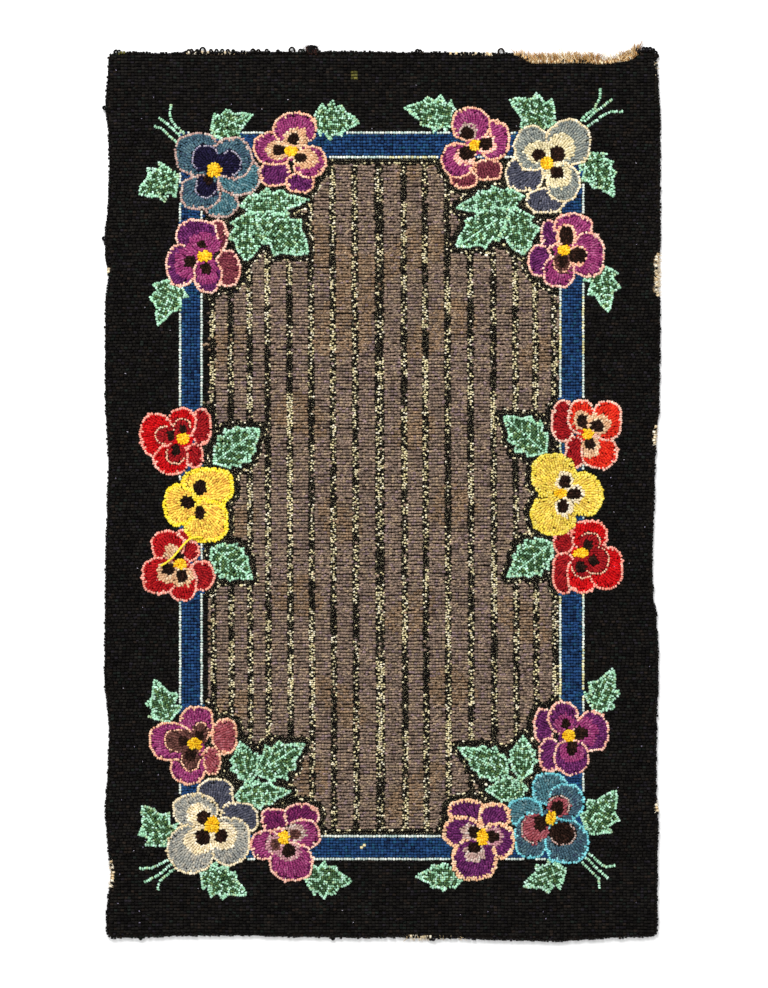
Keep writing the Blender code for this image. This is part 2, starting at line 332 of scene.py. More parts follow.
# Leaves, from the foot to the tip
LEAVES = (
    LeafRow(-244, 386, -294, 362, 42, 0.45, 3, 0.34),
    LeafRow(-207, 434, -155, 458, 36, 0.40, 3, 0.30),
    LeafRow(94, 452, 25, 466, 38, 0.45, 4, 0.24),
    LeafRow(209, 447, 151, 476, 42, 0.42, 3, 0.34),
    LeafRow(245, 412, 279, 358, 38, 0.42, 4, 0.26),
    LeafRow(-172, 348, -87, 355, 30, 0.45, 4, 0.26),
    LeafRow(-158, 343, -163, 280, 44, 0.50, 3, 0.30),
    LeafRow(-156, 342, -88, 290, 46, 0.60, 4, 0.24),
    LeafRow(172, 360, 87, 345, 30, 0.50, 4, 0.24),
    LeafRow(156, 344, 87, 298, 40, 0.52, 4, 0.26),
    LeafRow(160, 348, 169, 288, 42, 0.55, 3, 0.28),
    LeafRow(-203, 38, -145, 81, 44, 0.50, 5, 0.18, True),
    LeafRow(-206, -62, -155, -101, 41, 0.48, 5, 0.18, True),
    LeafRow(198, 51, 144, 97, 42, 0.46, 4, 0.24, True),
    LeafRow(205, -56, 149, -99, 41, 0.46, 5, 0.20, True),
    LeafRow(-256, -274, -273, -219, 36, 0.42, 3, 0.36),
    LeafRow(255, -262, 278, -206, 36, 0.42, 3, 0.30),
    LeafRow(-248, 262, -270, 203, 38, 0.40, 3, 0.30),
    LeafRow(259, 280, 272, 219, 36, 0.42, 3, 0.34),
    LeafRow(-256, -422, -289, -371, 40, 0.45, 3, 0.34),
    LeafRow(246, -408, 282, -353, 40, 0.45, 3, 0.30),
    LeafRow(-220, -450, -161, -480, 36, 0.45, 4, 0.32),
    LeafRow(-94, -461, -35, -463, 38, 0.45, 4, 0.26),
    LeafRow(100, -458, 38, -457, 30, 0.45, 4, 0.22),
    LeafRow(222, -448, 167, -470, 34, 0.42, 3, 0.30),
    LeafRow(-158, -346, -171, -295, 34, 0.50, 4, 0.20),
    LeafRow(-152, -336, -92, -297, 40, 0.45, 4, 0.26),
    LeafRow(-178, -362, -107, -355, 30, 0.42, 4, 0.24),
    LeafRow(152, -334, 90, -302, 36, 0.40, 4, 0.20),
    LeafRow(168, -342, 169, -287, 32, 0.50, 4, 0.20),
    LeafRow(176, -352, 122, -354, 30, 0.48, 4, 0.22),
    LeafRow(-86, 452, -26, 448, 40, 0.45, 4, 0.28),
)

# Stems beside the corner flowers, each a single row of loops through these places
STEMS = (
    ((-254, 469), (-254, 452), (-247, 442), (-236, 433)),
    ((-268, 453), (-259, 447), (-250, 439), (-240, 428)),
    ((-273, 443), (-264, 440), (-254, 430), (-243, 422)),
    ((262, 488), (262, 478), (255, 465), (243, 455), (236, 446)),
    ((276, 475), (266, 468), (255, 460), (244, 450)),
    ((288, 461), (275, 461), (263, 455), (250, 445), (240, 440)),
    ((-290, -448), (-276, -447), (-263, -441), (-254, -435)),
    ((-285, -464), (-269, -456), (-257, -446), (-250, -440)),
    ((-270, -473), (-267, -463), (-256, -453), (-246, -446)),
    ((279, -445), (267, -446), (256, -437), (246, -428)),
    ((271, -459), (262, -452), (252, -442), (243, -433)),
    ((260, -471), (260, -460), (250, -450), (240, -441)),
)

# How square each kind of oval is, from 2 for an ellipse upwards
OVAL_POWER = {"base": 2.0, "petal": 2.3, "block": 3.4, "inner": 2.1, "eye": 2.6, "heart": 2.2}
BASE_RADIUS = 13


class Oval:
    """A petal, eye or heart: an oval a little uneven round its rim, its wool and its outline's."""

    def __init__(self, heart, outline, part):
        self.kind = part.kind
        self.heart = heart
        self.middle = (heart[0] + part.x, heart[1] + part.y)
        self.half = (part.rx, part.ry)
        self.power = OVAL_POWER[part.kind]
        self.waver = CHANCE.uniform(0, 2 * math.pi, 3)
        self.wool = part.wool
        self.edge = outline if part.kind in ("petal", "block") else part.edge
        spare = 1.06
        self.box = (
            self.middle[0] - spare * part.rx, self.middle[0] + spare * part.rx,
            self.middle[1] - spare * part.ry, self.middle[1] + spare * part.ry,
        )

    def reach_at(self, turn):
        """How far from the middle the rim lies in each direction."""
        stretch = (np.abs(np.cos(turn) / self.half[0]) ** self.power
                   + np.abs(np.sin(turn) / self.half[1]) ** self.power) ** (-1 / self.power)
        first, second, third = self.waver
        uneven = 0.016 * np.sin(3 * turn + first) + 0.018 * np.sin(5 * turn + second)
        return stretch * (1 + uneven + 0.014 * np.sin(9 * turn + third))

    def gap(self, x, y):
        """Distance out from the rim, and below zero inside it."""
        u = x - self.middle[0]
        v = y - self.middle[1]
        return np.hypot(u, v) - self.reach_at(np.arctan2(v, u))

    def rim(self):
        """Points round the oval."""
        turn = np.linspace(0, 2 * math.pi, 180, endpoint=False)
        reach = self.reach_at(turn)
        return np.column_stack([
            self.middle[0] + reach * np.cos(turn), self.middle[1] + reach * np.sin(turn),
        ])


class Leaf:
    """A toothed leaf from its foot to its tip, with a midrib."""

    kind = "leaf"
    wool = "mint"
    edge = "mint"

    def __init__(self, row):
        self.foot = np.array([row.foot_x, row.foot_y], float)
        self.tip = np.array([row.tip_x, row.tip_y], float)
        self.outline = self.rounded(self.toothed(row))
        self.veined = row.veined
        self.heart = tuple(self.foot)
        low = self.outline.min(axis=0)
        high = self.outline.max(axis=0)
        self.box = (low[0], high[0], low[1], high[1])

    def toothed(self, row):
        """The corners of the leaf, round its teeth from the foot over the tip and back."""
        along = self.tip - self.foot
        across = np.array([-along[1], along[0]]) / np.linalg.norm(along)
        lean = math.log(0.5) / math.log(row.bulge)
        sides = []
        for side in (1, -1):
            points = []
            for tooth in range(row.teeth):
                wander = CHANCE.uniform(-0.1, 0.08)
                for share, out in ((0.1, -1), (0.86 + wander, 1)):
                    t = 0.04 + 0.84 * (tooth + share) / row.teeth
                    reach = 1 + out * row.cut * (0.95 - 0.4 * t)
                    swell = t ** lean
                    half = 0.54 * row.width * math.sin(math.pi * swell) ** (0.75 if swell < 0.5 else 1.4)
                    points.append(self.foot + along * t + side * across * half * reach)
            sides.append(points)
        return np.array([self.foot] + sides[0] + [self.tip] + sides[1][::-1])

    def rounded(self, corners):
        """Points close together along the corners' line, with its corners softened."""
        points = resampled(corners, 1.0, closed=True)
        kernel = (1, 2, 1)
        smooth = sum(w * np.roll(points, k - 1, axis=0) for k, w in enumerate(kernel))
        return smooth / sum(kernel)

    def gap(self, x, y):
        return polygon_gap(self.outline[::2], x, y)

    def rim(self):
        return self.outline


def resampled(points, spacing, closed):
    """The same line with its points evenly apart, about spacing millimetres."""
    if closed:
        points = np.vstack([points, points[:1]])
    lengths = np.concatenate([[0], np.cumsum(np.hypot(*np.diff(points, axis=0).T))])
    count = max(int(round(lengths[-1] / spacing)), 2)
    at = np.linspace(0, lengths[-1], count + 1)
    line = np.column_stack([np.interp(at, lengths, points[:, axis]) for axis in (0, 1)])
    return line[:-1] if closed else line


def polygon_gap(corners, x, y):
    """Distance out from a polygon's rim, and below zero inside it."""
    nearest = np.full(x.shape, 1e9)
    inside = np.zeros(x.shape, bool)
    for (ax, ay), (bx, by) in zip(corners, np.roll(corners, -1, axis=0)):
        dx, dy = bx - ax, by - ay
        share = np.clip(((x - ax) * dx + (y - ay) * dy) / max(dx * dx + dy * dy, 1e-9), 0, 1)
        nearest = np.minimum(nearest, np.hypot(x - ax - share * dx, y - ay - share * dy))
        if ay != by:
            crosses = ((ay > y) != (by > y)) & (x < (y - ay) * dx / dy + ax)
            inside ^= crosses
    return np.where(inside, -nearest, nearest)


def offset_rim(points, offset, spacing):
    """Points along a closed line moved outwards by offset, and the line's turn at each."""
    ahead = np.roll(points, -2, axis=0) - np.roll(points, 2, axis=0)
    ahead /= np.maximum(np.hypot(*ahead.T), 1e-9)[:, None]
    x, y = points.T
    area = np.sum(x * np.roll(y, -1) - y * np.roll(x, -1))
    outward = np.column_stack([ahead[:, 1], -ahead[:, 0]]) * np.sign(area)
    line = resampled(points + outward * offset, spacing, closed=True)
    run = np.roll(line, -1, axis=0) - np.roll(line, 1, axis=0)
    return line, np.arctan2(run[:, 1], run[:, 0])


def flower_parts(runs):
    """A disc under the heart, so that no ground shows between the petals there, and the parts."""
    wool = [run.wool for run in runs if run.kind == "petal"][-1]
    base = Part("base", 0, 0, BASE_RADIUS, BASE_RADIUS, wool)
    return [base] + [Part(run.kind, *oval, run.wool, run.edge) for run in runs for oval in run.ovals]


MOTIFS = [Leaf(row) for row in LEAVES] + [
    Oval(heart, outline, part) for heart, outline, runs in FLOWERS for part in flower_parts(runs)
]
# How far from a motif's box its rim still counts as near
MOTIF_REACH = 12.0


def look_up(x, y):
    """For each place: the motif on top (or -1), and how far that zone's rim is."""
    owner = np.full(x.shape, -1)
    room = np.full(x.shape, 99.0)
    for index, motif in enumerate(MOTIFS):
        x0, x1, y0, y1 = motif.box
        near = np.flatnonzero(
            (x > x0 - MOTIF_REACH) & (x < x1 + MOTIF_REACH)
            & (y > y0 - MOTIF_REACH) & (y < y1 + MOTIF_REACH)
        )
        if not len(near):
            continue
        gap = motif.gap(x[near], y[near])
        inside = gap < 0
        room[near] = np.where(inside, -gap, np.minimum(room[near], gap))
        owner[near[inside]] = index
    return owner, room


def in_box(box, x, y, margin=0.0):
    """Whether each place lies in a box, widened by a margin on all sides."""
    return ((x > box[0] - margin) & (x < box[1] + margin)
            & (y > box[2] - margin) & (y < box[3] + margin))


def soft_noise(x, y, size, salt):
    """A smooth wander from about -1 to 1, patches of about the given size."""
    a, b, c, d = np.random.default_rng(salt).uniform(0, 2 * math.pi, 4)
    k = 2 * math.pi / size
    return (np.sin(k * x * 0.9 + a + 1.3 * np.sin(k * y * 0.5 + b))
            + np.sin(k * y * 1.1 + c + 1.1 * np.sin(k * x * 0.6 + d))) / 2


class Pile:
    """The loops taken so far, each with its place, turn, size, wool and family."""

    def __init__(self):
        self.cells = {}
        self.rows = []

    def has_room(self, x, y, room):
        column = int(x // CELL)
        row = int(y // CELL)
        for i in (column - 1, column, column + 1):
            for j in (row - 1, row, row + 1):
                for u, v in self.cells.get((i, j), ()):
                    if (u - x) ** 2 + (v - y) ** 2 < room * room:
                        return False
        return True

    def add(self, x, y, turn, wool, family, room, size):
        """Adds each loop that keeps room to those there, given as arrays or single values."""
        x, y, turn, wool = np.broadcast_arrays(x, y, turn, wool)
        for place in zip(x.tolist(), y.tolist(), turn.tolist(), wool.tolist()):
            if self.has_room(place[0], place[1], room):
                cell = (int(place[0] // CELL), int(place[1] // CELL))
                self.cells.setdefault(cell, []).append(place[:2])
                self.rows.append(place + (family, *size))


def wool_id(name):
    """The number that stands for a wool in the loops' rows."""
    return WOOL_NAMES.index(name)


BLACK = wool_id("black")
TAUPE = wool_id("taupe")
RUST = wool_id("rust taupe")
CREAM = wool_id("cream")
BLUE = wool_id("band blue")
MINT = wool_id("mint")
MOSS = wool_id("moss")


# A small olive stain in the border, and a pale scratch across the band at the lower end
OLIVE_STAIN = (-32.7, 504.6)
SCRATCH = -393.0


def ground_wool(x, y, room):
    """The wool of the ground at each place, by border, band, field and the rings round motifs."""
    wool = np.full(x.shape, BLACK)
    in_band = in_box(BAND_OUTER, x, y)
    wool[in_band] = BLUE
    in_field = in_box(FIELD, x, y)
    warm = soft_noise(x, y, 120, 5) + 1.2 * np.exp(-((x + 14) ** 2 + (y - 240) ** 2) / 60 ** 2) > 0.55
    fill = np.where(warm & (CHANCE.random(x.shape) < 0.75), RUST, TAUPE)
    wool[in_field] = fill[in_field]
    ring = in_field & (room < RING_ROWS[2] + 1.2)
    wool[ring] = np.where(CHANCE.random(ring.sum()) < 0.35, CREAM, BLACK)
    wool[in_field & (room < RING_ROWS[1] - 0.8)] = BLACK
    wool[~in_band & (np.hypot(x - OLIVE_STAIN[0], y - OLIVE_STAIN[1]) < 5)] = wool_id("olive")
    wool[in_band & (np.abs(y - x * 1.2 - SCRATCH) < 1.6) & (np.abs(x + 24) < 4)] = CREAM
    return wool


def motif_wool(x, y, owner):
    """The wool inside the motifs at each place."""
    wool = np.array([wool_id(motif.wool) for motif in MOTIFS] + [BLACK])[owner]
    clump = soft_noise(x, y, 9, 8) + CHANCE.normal(0, 0.4, x.shape)
    for index, motif in enumerate(MOTIFS):
        if motif.kind != "leaf":
            continue
        along = (motif.tip - motif.foot) / np.linalg.norm(motif.tip - motif.foot)
        ahead = (x - motif.foot[0]) * along[0] + (y - motif.foot[1]) * along[1]
        aside = np.abs((y - motif.foot[1]) * along[0] - (x - motif.foot[0]) * along[1])
        if motif.veined:
            moss = (aside > 1.6) & ((ahead - 0.8 * aside) % 13 > 2.4) & (clump > -0.8)
        else:
            moss = (clump > -0.3) & (aside > 0.9)
        wool[(owner == index) & moss & (-motif.gap(x, y) > 2.6)] = MOSS
    return wool


EDGE_WOOLS = np.array([wool_id(motif.edge or motif.wool) for motif in MOTIFS] + [BLACK])
OUTLINED = np.array([motif.kind in ("petal", "block", "leaf") for motif in MOTIFS] + [False])
# How wide a petal's outline is, first by its wool where that is a special one
OUTLINE_WIDTHS = {"apricot": 4.8}
OUTLINE_WIDTH = 2.4


def in_outline(x, y, owner):
    """Whether each place lies in the outline of the petal or leaf that it belongs to."""
    rim = np.zeros(x.shape, bool)
    for index in np.unique(owner[OUTLINED[owner]]):
        mine = owner == index
        width = OUTLINE_WIDTHS.get(MOTIFS[index].edge, OUTLINE_WIDTH)
        rim[mine] = -MOTIFS[index].gap(x[mine], y[mine]) < width
    return rim


def zone_wool(x, y):
    """The wool at each place, in the ground, the motifs or their outlines, and the motif on top."""
    owner, room = look_up(x, y)
    wool = np.where(owner < 0, ground_wool(x, y, room), motif_wool(x, y, owner))
    return np.where(in_outline(x, y, owner), EDGE_WOOLS[owner], wool), owner


def line_tones(count):
    """The share of cream along a line, in runs that are pale, mixed or dark."""
    tones = np.empty(count)
    start = 0
    while start < count:
        run = int(CHANCE.integers(4, 22))
        tones[start:start + run] = CHANCE.choice((0.9, 0.5, 0.08), p=(0.18, 0.56, 0.26))
        start += run
    return tones


def family_of(owner):
    """The piece's family of each owner: 0 ground, 1 flowers, 2 leaves."""
    return np.array([2 if motif.kind == "leaf" else 1 for motif in MOTIFS] + [0])[owner]


# The row inside the outline, by the petal's wool: its wool and the share of its loops that are there
SECOND_ROWS = {"magenta": ("berry", 0.7), "straw": ("yellow", 1.0), "lemon": ("pale yellow", 1.0)}


def lay_rims(pile):
    """The outline rows of the motifs, where no later motif covers them."""
    for index, motif in enumerate(MOTIFS):
        if not motif.edge:
            continue
        leaf = motif.kind == "leaf"
        inner = motif.kind == "inner"
        family = "leaf" if leaf else "flower"
        inset = LEAF_INSET if leaf else RIM_INSET
        size = INNER_RIM_LOOP if inner else RIM_LOOP
        rows = [(inset, motif.edge, 1.0)]
        if leaf:
            rows.append((inset + 2.4, motif.edge, 0.28))
        elif not inner:
            rows.append((SECOND_INSET, motif.edge, 0.9 if motif.edge in OUTLINE_WIDTHS else 0.12))
            rows.append((SECOND_INSET,) + SECOND_ROWS.get(motif.wool, (motif.wool, 1.0)))
        for depth, wool, share in rows:
            line, turn = offset_rim(motif.rim(), -depth, RIM_PITCH)
            line = line + CHANCE.normal(0, RIM_JITTER, line.shape)
            owner, room = look_up(line[:, 0], line[:, 1])
            shown = (owner == index) & (room > depth - 1.3) & (CHANCE.random(len(line)) < share)
            if inner:
                out = line - motif.middle
                away = np.subtract(motif.middle, motif.heart)
                shown &= out @ away > -0.25 * np.linalg.norm(away) * np.hypot(*out.T)
            line = line[shown]
            turn = turn[shown] + math.pi / 2
            pile.add(line[:, 0], line[:, 1], turn, wool_id(wool), family, RIM_ROOM, size)


def lay_stems(pile):
    """The single rows of loops beside the corner flowers."""
    for stem in STEMS:
        line = resampled(np.array(stem, float), STEM_PITCH, closed=False)
        run = np.gradient(line, axis=0)
        turn = np.arctan2(run[:, 1], run[:, 0]) + math.pi / 2
        owner, _ = look_up(line[:, 0], line[:, 1])
        free = owner < 0
        line = line + CHANCE.normal(0, 0.3, line.shape)
        pile.add(line[free, 0], line[free, 1], turn[free], MINT, "leaf", STEM_ROOM, STEM_LOOP)


def ray_lattice(heart, reach):
    """Places on rays from a heart, evenly apart, with each one's way out from the heart."""
    x, y, turn = [], [], []
    radius = FINE_PITCH / 2
    rays = 3
    while radius < reach:
        while 2 * math.pi * radius / rays > 1.25 * FINE_PITCH:
            rays += max(1, round(rays * 0.22))
        angle = np.arange(rays) * 2 * math.pi / rays
        x.append(heart[0] + radius * np.cos(angle))
        y.append(heart[1] + radius * np.sin(angle))
        turn.append(angle)
        radius += FINE_PITCH
    return (np.concatenate(part) for part in (x, y, turn))


def leaf_lattice(foot, tip):
    """Places in slanting rows over a leaf, with the turn of each row's loops."""
    along = np.subtract(tip, foot)
    angle = math.atan2(along[1], along[0])
    steps = np.arange(-LEAF_REACH, LEAF_REACH, FINE_PITCH)
    u, v = (grid.ravel() for grid in np.meshgrid(steps, steps))
    x = foot[0] + u * math.cos(angle) - v * math.sin(angle)
    y = foot[1] + u * math.sin(angle) + v * math.cos(angle)
    return x, y, angle + np.sign(v) * 0.8 + CHANCE.normal(0, 0.5, x.shape)


# Which motifs have a jagged line towards others of their flower, and the heart of each one
BLENDING = np.array([motif.kind in ("petal", "inner", "base") for motif in MOTIFS] + [False])
HEARTS = np.array([motif.heart for motif in MOTIFS] + [NOWHERE])


def lay_motif_fill(pile):
    """Loops on rays from each flower's heart, so that their backs make ribs, and rows in leaves."""
    for heart in sorted({motif.heart for motif in MOTIFS}):
        leaves = [motif for motif in MOTIFS if motif.heart == heart and motif.kind == "leaf"]
        if leaves:
            x, y, turn = leaf_lattice(leaves[0].foot, leaves[0].tip)
        else:
            x, y, turn = ray_lattice(heart, RAY_REACH)
        x = x + CHANCE.normal(0, 0.16, x.shape)
        y = y + CHANCE.normal(0, 0.16, y.shape)
        owner, room = look_up(x, y)
        mine = (np.abs(HEARTS[owner] - heart).max(axis=1) < 1e-6) & (room > 0.7)
        mine &= ~in_outline(x, y, owner)
        x, y, turn, owner = x[mine], y[mine], turn[mine], owner[mine]
        family = "leaf" if leaves else "flower"
        size = LEAF_LOOP if leaves else FINE_LOOP
        pile.add(x, y, turn, motif_wool(x, y, strayed(x, y, owner)), family, FILL_ROOM, size)


def strayed(x, y, owner):
    """The owners again, with a jagged line between the inner and outer zones of each petal."""
    near, room = look_up(x + CHANCE.normal(0, 1.0, x.shape), y + CHANCE.normal(0, 1.0, y.shape))
    same = np.abs(HEARTS[near] - HEARTS[owner]).max(axis=1) < 1e-6
    return np.where(BLENDING[owner] & BLENDING[near] & same, near, owner)


def lay_rings(pile):
    """Inside the field black rows go round each motif, and a row of cream and black round those."""
    for offset, share in zip(RING_ROWS, RING_CREAM):
        for motif in MOTIFS:
            if motif.kind not in ("petal", "block", "leaf"):
                continue
            line, turn = offset_rim(motif.rim(), offset, FINE_PITCH)
            line = line + CHANCE.normal(0, RIM_JITTER, line.shape)
            owner, room = look_up(line[:, 0], line[:, 1])
            shown = (owner < 0) & (np.abs(room - offset) < 0.8) & in_box(FIELD, *line.T)
            cream = CHANCE.random(shown.sum()) < share
            pile.add(line[shown, 0], line[shown, 1], turn[shown],
                     np.where(cream, CREAM, BLACK), "line", RING_ROOM, SPECK_LOOP)


def spaced(low, high, pitch):
    """Places from low to high, evenly apart by about a pitch."""
    count = int(round((high - low) / pitch))
    return np.linspace(low, high, count + 1)


def lay_beads(pile, box):
    """One row of pale loops along the four sides of a box."""
    x0, x1, y0, y1 = box
    upright = math.pi / 2
    sides = (
        (x0, spaced(y0, y1, BEAD_PITCH), upright),
        (x1, spaced(y0, y1, BEAD_PITCH), upright),
        (spaced(x0, x1, BEAD_PITCH), y0, 0.0),
        (spaced(x0, x1, BEAD_PITCH), y1, 0.0),
    )
    for x, y, turn in sides:
        x, y = np.broadcast_arrays(x, y)
        owner, gap = look_up(x, y)
        free = (owner < 0) & (gap > 1.0)
        wool = edging_wool(x, y)
        pile.add(x[free], y[free], turn, wool[free], "edging", BEAD_ROOM, BEAD_LOOP)


def edging_wool(x, y):
    """Grey or straw for each bead, the straw ones in patches."""
    straw = (soft_noise(x, y, 160, 3) > 0.35) & (CHANCE.random(x.shape) < 0.7)
    return np.where(straw, wool_id("bead straw"), wool_id("bead grey"))


def lay_band(pile):
    """The two rows of beads, and the blue rows between them on all four sides."""
    lay_beads(pile, BAND_OUTER)
    lay_beads(pile, BAND_INNER)
    for low, high in ((BAND_OUTER[0], BAND_INNER[0]), (BAND_INNER[1], BAND_OUTER[1])):
        columns = spaced(low + 3.7, high - 3.7, BAND_COLUMN_PITCH)
        rows = spaced(BAND_OUTER[2] + 3.6, BAND_OUTER[3] - 3.6, ROW_PITCH)
        lay_grid(pile, columns, rows, "band", size=BAND_LOOP)
    for low, high in ((BAND_OUTER[2], BAND_INNER[2]), (BAND_INNER[3], BAND_OUTER[3])):
        columns = spaced(BAND_INNER[0] + 1, BAND_INNER[1] - 1, BAND_COLUMN_PITCH)
        rows = spaced(low + 3.6, high - 3.6, 3.45)
        lay_grid(pile, columns, rows, "band", size=BAND_LOOP)


def lay_grid(pile, columns, rows, family, wool=None, size=FIELD_LOOP):
    """Loops where columns and rows cross, in one wool or else in the ground's."""
    x, y = (grid.ravel() for grid in np.meshgrid(columns, rows))
    x = x + CHANCE.normal(0, 0.2, x.shape)
    y = y + CHANCE.normal(0, 0.12, y.shape)
    owner, gap = look_up(x, y)
    free = (owner < 0) & (gap > 1.1)
    x, y, gap = x[free], y[free], gap[free]
    choice = ground_wool(x, y, gap) if wool is None else np.full(x.shape, wool)
    pile.add(x, y, 0.0, choice, family, GRID_ROOM, size)


def drift_at(y):
    """How far the stripes have moved to the right at each height."""
    low, high = FIELD_ROWS
    return LINE_DRIFT * (high - y) / (high - low)


def row_wander(x, y):
    """How far the rows of loops bend up or down at each place."""
    return 0.8 * soft_noise(x, y, 150, 21)


def lay_field(pile):
    """The rows across the field's ends, the speckled lines and the columns between those."""
    low, high = FIELD_ROWS
    # The black and cream rows across the field's two ends
    for end, inward in ((low, 1), (high, -1)):
        across = spaced(FIELD[0] + 2, FIELD[1] - 2, 3.0)
        for step, share in ((-1, 0.0), (0, 0.3)):
            y = np.full(across.shape, end + inward * step * 3.6)
            owner, gap = look_up(across, y)
            free = (owner < 0) & (gap > 1.1)
            cream = CHANCE.random(across.shape) < share
            wool = np.where(cream, CREAM, BLACK)
            pile.add(across[free], y[free], 0.0, wool[free], "line", END_ROOM, LEAF_LOOP)
    rows = spaced(low + 3.6, high - 3.6, ROW_PITCH)
    rows = rows + CHANCE.normal(0, 0.28, rows.shape)
    specks = spaced(low + 3.2, high - 3.2, SPECK_PITCH)
    edges = []
    for line in STRIPE_LINES:
        columns = WIDE_COLUMNS if line == WIDE_LINE else LINE_COLUMNS
        edges.append((line + columns[0], line + columns[-1]))
        tones = line_tones(len(specks))
        for column in columns:
            x = line + column + drift_at(specks) + CHANCE.normal(0, 0.4, specks.shape)
            y = specks + CHANCE.normal(0, 0.4, specks.shape)
            owner, gap = look_up(x, y)
            free = (owner < 0) & (gap > RING_ROWS[2] - 0.6)
            turn = CHANCE.normal(0, 0.4, specks.shape)
            share = tones * (0.72 if column in (columns[0], columns[-1]) else 1.25)
            wool = np.where(CHANCE.random(specks.shape) < share, CREAM, BLACK)
            pile.add(x[free], y[free], turn[free], wool[free], "line", SPECK_ROOM, SPECK_LOOP)
    # The black rows between the band and the first and last lines
    for x in OUTER_COLUMNS:
        lay_grid(pile, [x], rows, "field", BLACK)
    for (_, left), (right, _) in zip(edges, edges[1:]):
        count = int(round((right - left) / FIELD_PITCH)) - 1
        shift = CHANCE.uniform(-0.7, 0.7, rows.shape)
        for column in np.linspace(left, right, count + 2)[1:-1]:
            x = column + drift_at(rows) + shift + CHANCE.normal(0, 0.2, rows.shape)
            y = rows + row_wander(x, rows) + CHANCE.normal(0, 0.1, rows.shape)
            owner, gap = look_up(x, y)
            free = (owner < 0) & (gap > RING_ROWS[2] + 1.4)
            wool = ground_wool(x, y, gap)
            pile.add(x[free], y[free], 0.0, wool[free], "field", FIELD_ROOM, FIELD_LOOP)


def lay_border(pile, inside):
    """The black ground outside the band. inside(x, y) says how far within the rug's edge it is."""
    for y in spaced(-BORDER_HALF[1], BORDER_HALF[1], ROW_PITCH):
        beside = BAND_OUTER[2] - 2 < y < BAND_OUTER[3] + 2
        pitch = SIDE_PITCH if beside else COLUMN_PITCH
        start = CHANCE.uniform(0, pitch) if beside else 0.0
        x = spaced(-BORDER_HALF[0], BORDER_HALF[0], pitch) + start
        x = x + CHANCE.normal(0, 0.2, x.shape)
        rows = y + row_wander(x, np.full(x.shape, y)) + CHANCE.normal(0, 0.1, x.shape)
        outside = ~in_box(BAND_OUTER, x, rows, 2.6)
        x, rows = x[outside], rows[outside]
        owner, gap = look_up(x, rows)
        free = (owner < 0) & (gap > 1.5) & (inside(x, rows) > 2.6)
        x, rows = x[free], rows[free]
        pile.add(x, rows, 0.0, ground_wool(x, rows, gap[free]), "border", GRID_ROOM, BORDER_LOOP)


def fill_holes(pile, inside):
    """A loop in each place that the rows left bare."""
    columns = np.arange(-HOLE_HALF[0], HOLE_HALF[0], HOLE_STEP)
    rows = np.arange(-HOLE_HALF[1], HOLE_HALF[1], HOLE_STEP)
    covered = np.zeros((len(rows), len(columns)), bool)
    x, y = np.array([row[:2] for row in pile.rows]).T
    i = np.round((y - rows[0]) / HOLE_STEP).astype(int)
    j = np.round((x - columns[0]) / HOLE_STEP).astype(int)
    # The border's loops are larger and cover the cells up to two steps off, the others fewer
    reach = np.where([row[4] == "border" for row in pile.rows], 5, 3)
    for di in range(-2, 3):
        for dj in range(-2, 3):
            near = reach >= di * di + dj * dj
            down = np.clip(i[near] + di, 0, len(rows) - 1)
            across = np.clip(j[near] + dj, 0, len(columns) - 1)
            covered[down, across] = True
    bare = np.argwhere(~covered)
    CHANCE.shuffle(bare)
    x = columns[bare[:, 1]]
    y = rows[bare[:, 0]]
    keep = inside(x, y) > 1.4
    x, y = x[keep], y[keep]
    wool, owner = zone_wool(x, y)
    for number, name in enumerate(("ground", "flower", "leaf")):
        mine = family_of(owner) == number
        if name != "ground":
            pile.add(x[mine], y[mine], 0.5, wool[mine], name, HOLE_ROOM, FINE_LOOP)
            continue
        for family, box in (("field", FIELD), ("band", BAND_OUTER), ("border", EVERYWHERE)):
            here = mine & in_box(box, x, y)
            mine &= ~here
            pile.add(x[here], y[here], 0.0, wool[here], family, WIDE_HOLE_ROOM, BAND_LOOP)


EdgeTint = namedtuple("EdgeTint", "x0 x1 y0 y1 wool share")
# Where other wools or the ground's threads show in the row along the rug's edge
EDGE_TINTS = (
    EdgeTint(157, 306, 500, 540, "tan", 0.6),
    EdgeTint(157, 306, 500, 540, "ivory", 0.12),
    EdgeTint(81, 134, 500, 540, "linen", 0.4),
    EdgeTint(-237, -159, 500, 540, "linen", 0.22),
    EdgeTint(-317, -305, 500, 540, "olive", 0.5),
    EdgeTint(320, 340, 239, 290, "linen", 0.6),
    EdgeTint(320, 340, 60, 84, "linen", 0.8),
    EdgeTint(320, 340, -381, -366, "linen", 0.7),
    EdgeTint(-340, -320, 268, 275, "linen", 1.0),
    EdgeTint(-340, -320, -471, -437, "linen", 0.7),
    EdgeTint(26, 58, -540, -500, "ivory", 0.6),
)


def lay_edge_row(pile, edge):
    """The row of loops along the rug's edge."""
    line, turn = offset_rim(edge, 0.0, EDGE_PITCH)
    away = np.stack([np.sin(turn), -np.cos(turn)])
    away *= np.sign(np.sum(away * line.T, axis=0)) * CHANCE.uniform(-0.4, 1.1, len(line))
    x = line[:, 0] + away[0] + CHANCE.normal(0, 0.2, len(line))
    y = line[:, 1] + away[1] + CHANCE.normal(0, 0.2, len(line))
    wool = np.full(len(line), BLACK)
    for tint in EDGE_TINTS:
        here = in_box((tint.x0, tint.x1, tint.y0, tint.y1), x, y)
        wool[here & (CHANCE.random(len(line)) < tint.share)] = wool_id(tint.wool)
    pile.add(x, y, turn + math.pi / 2, wool, "border", EDGE_ROOM, BAND_LOOP)


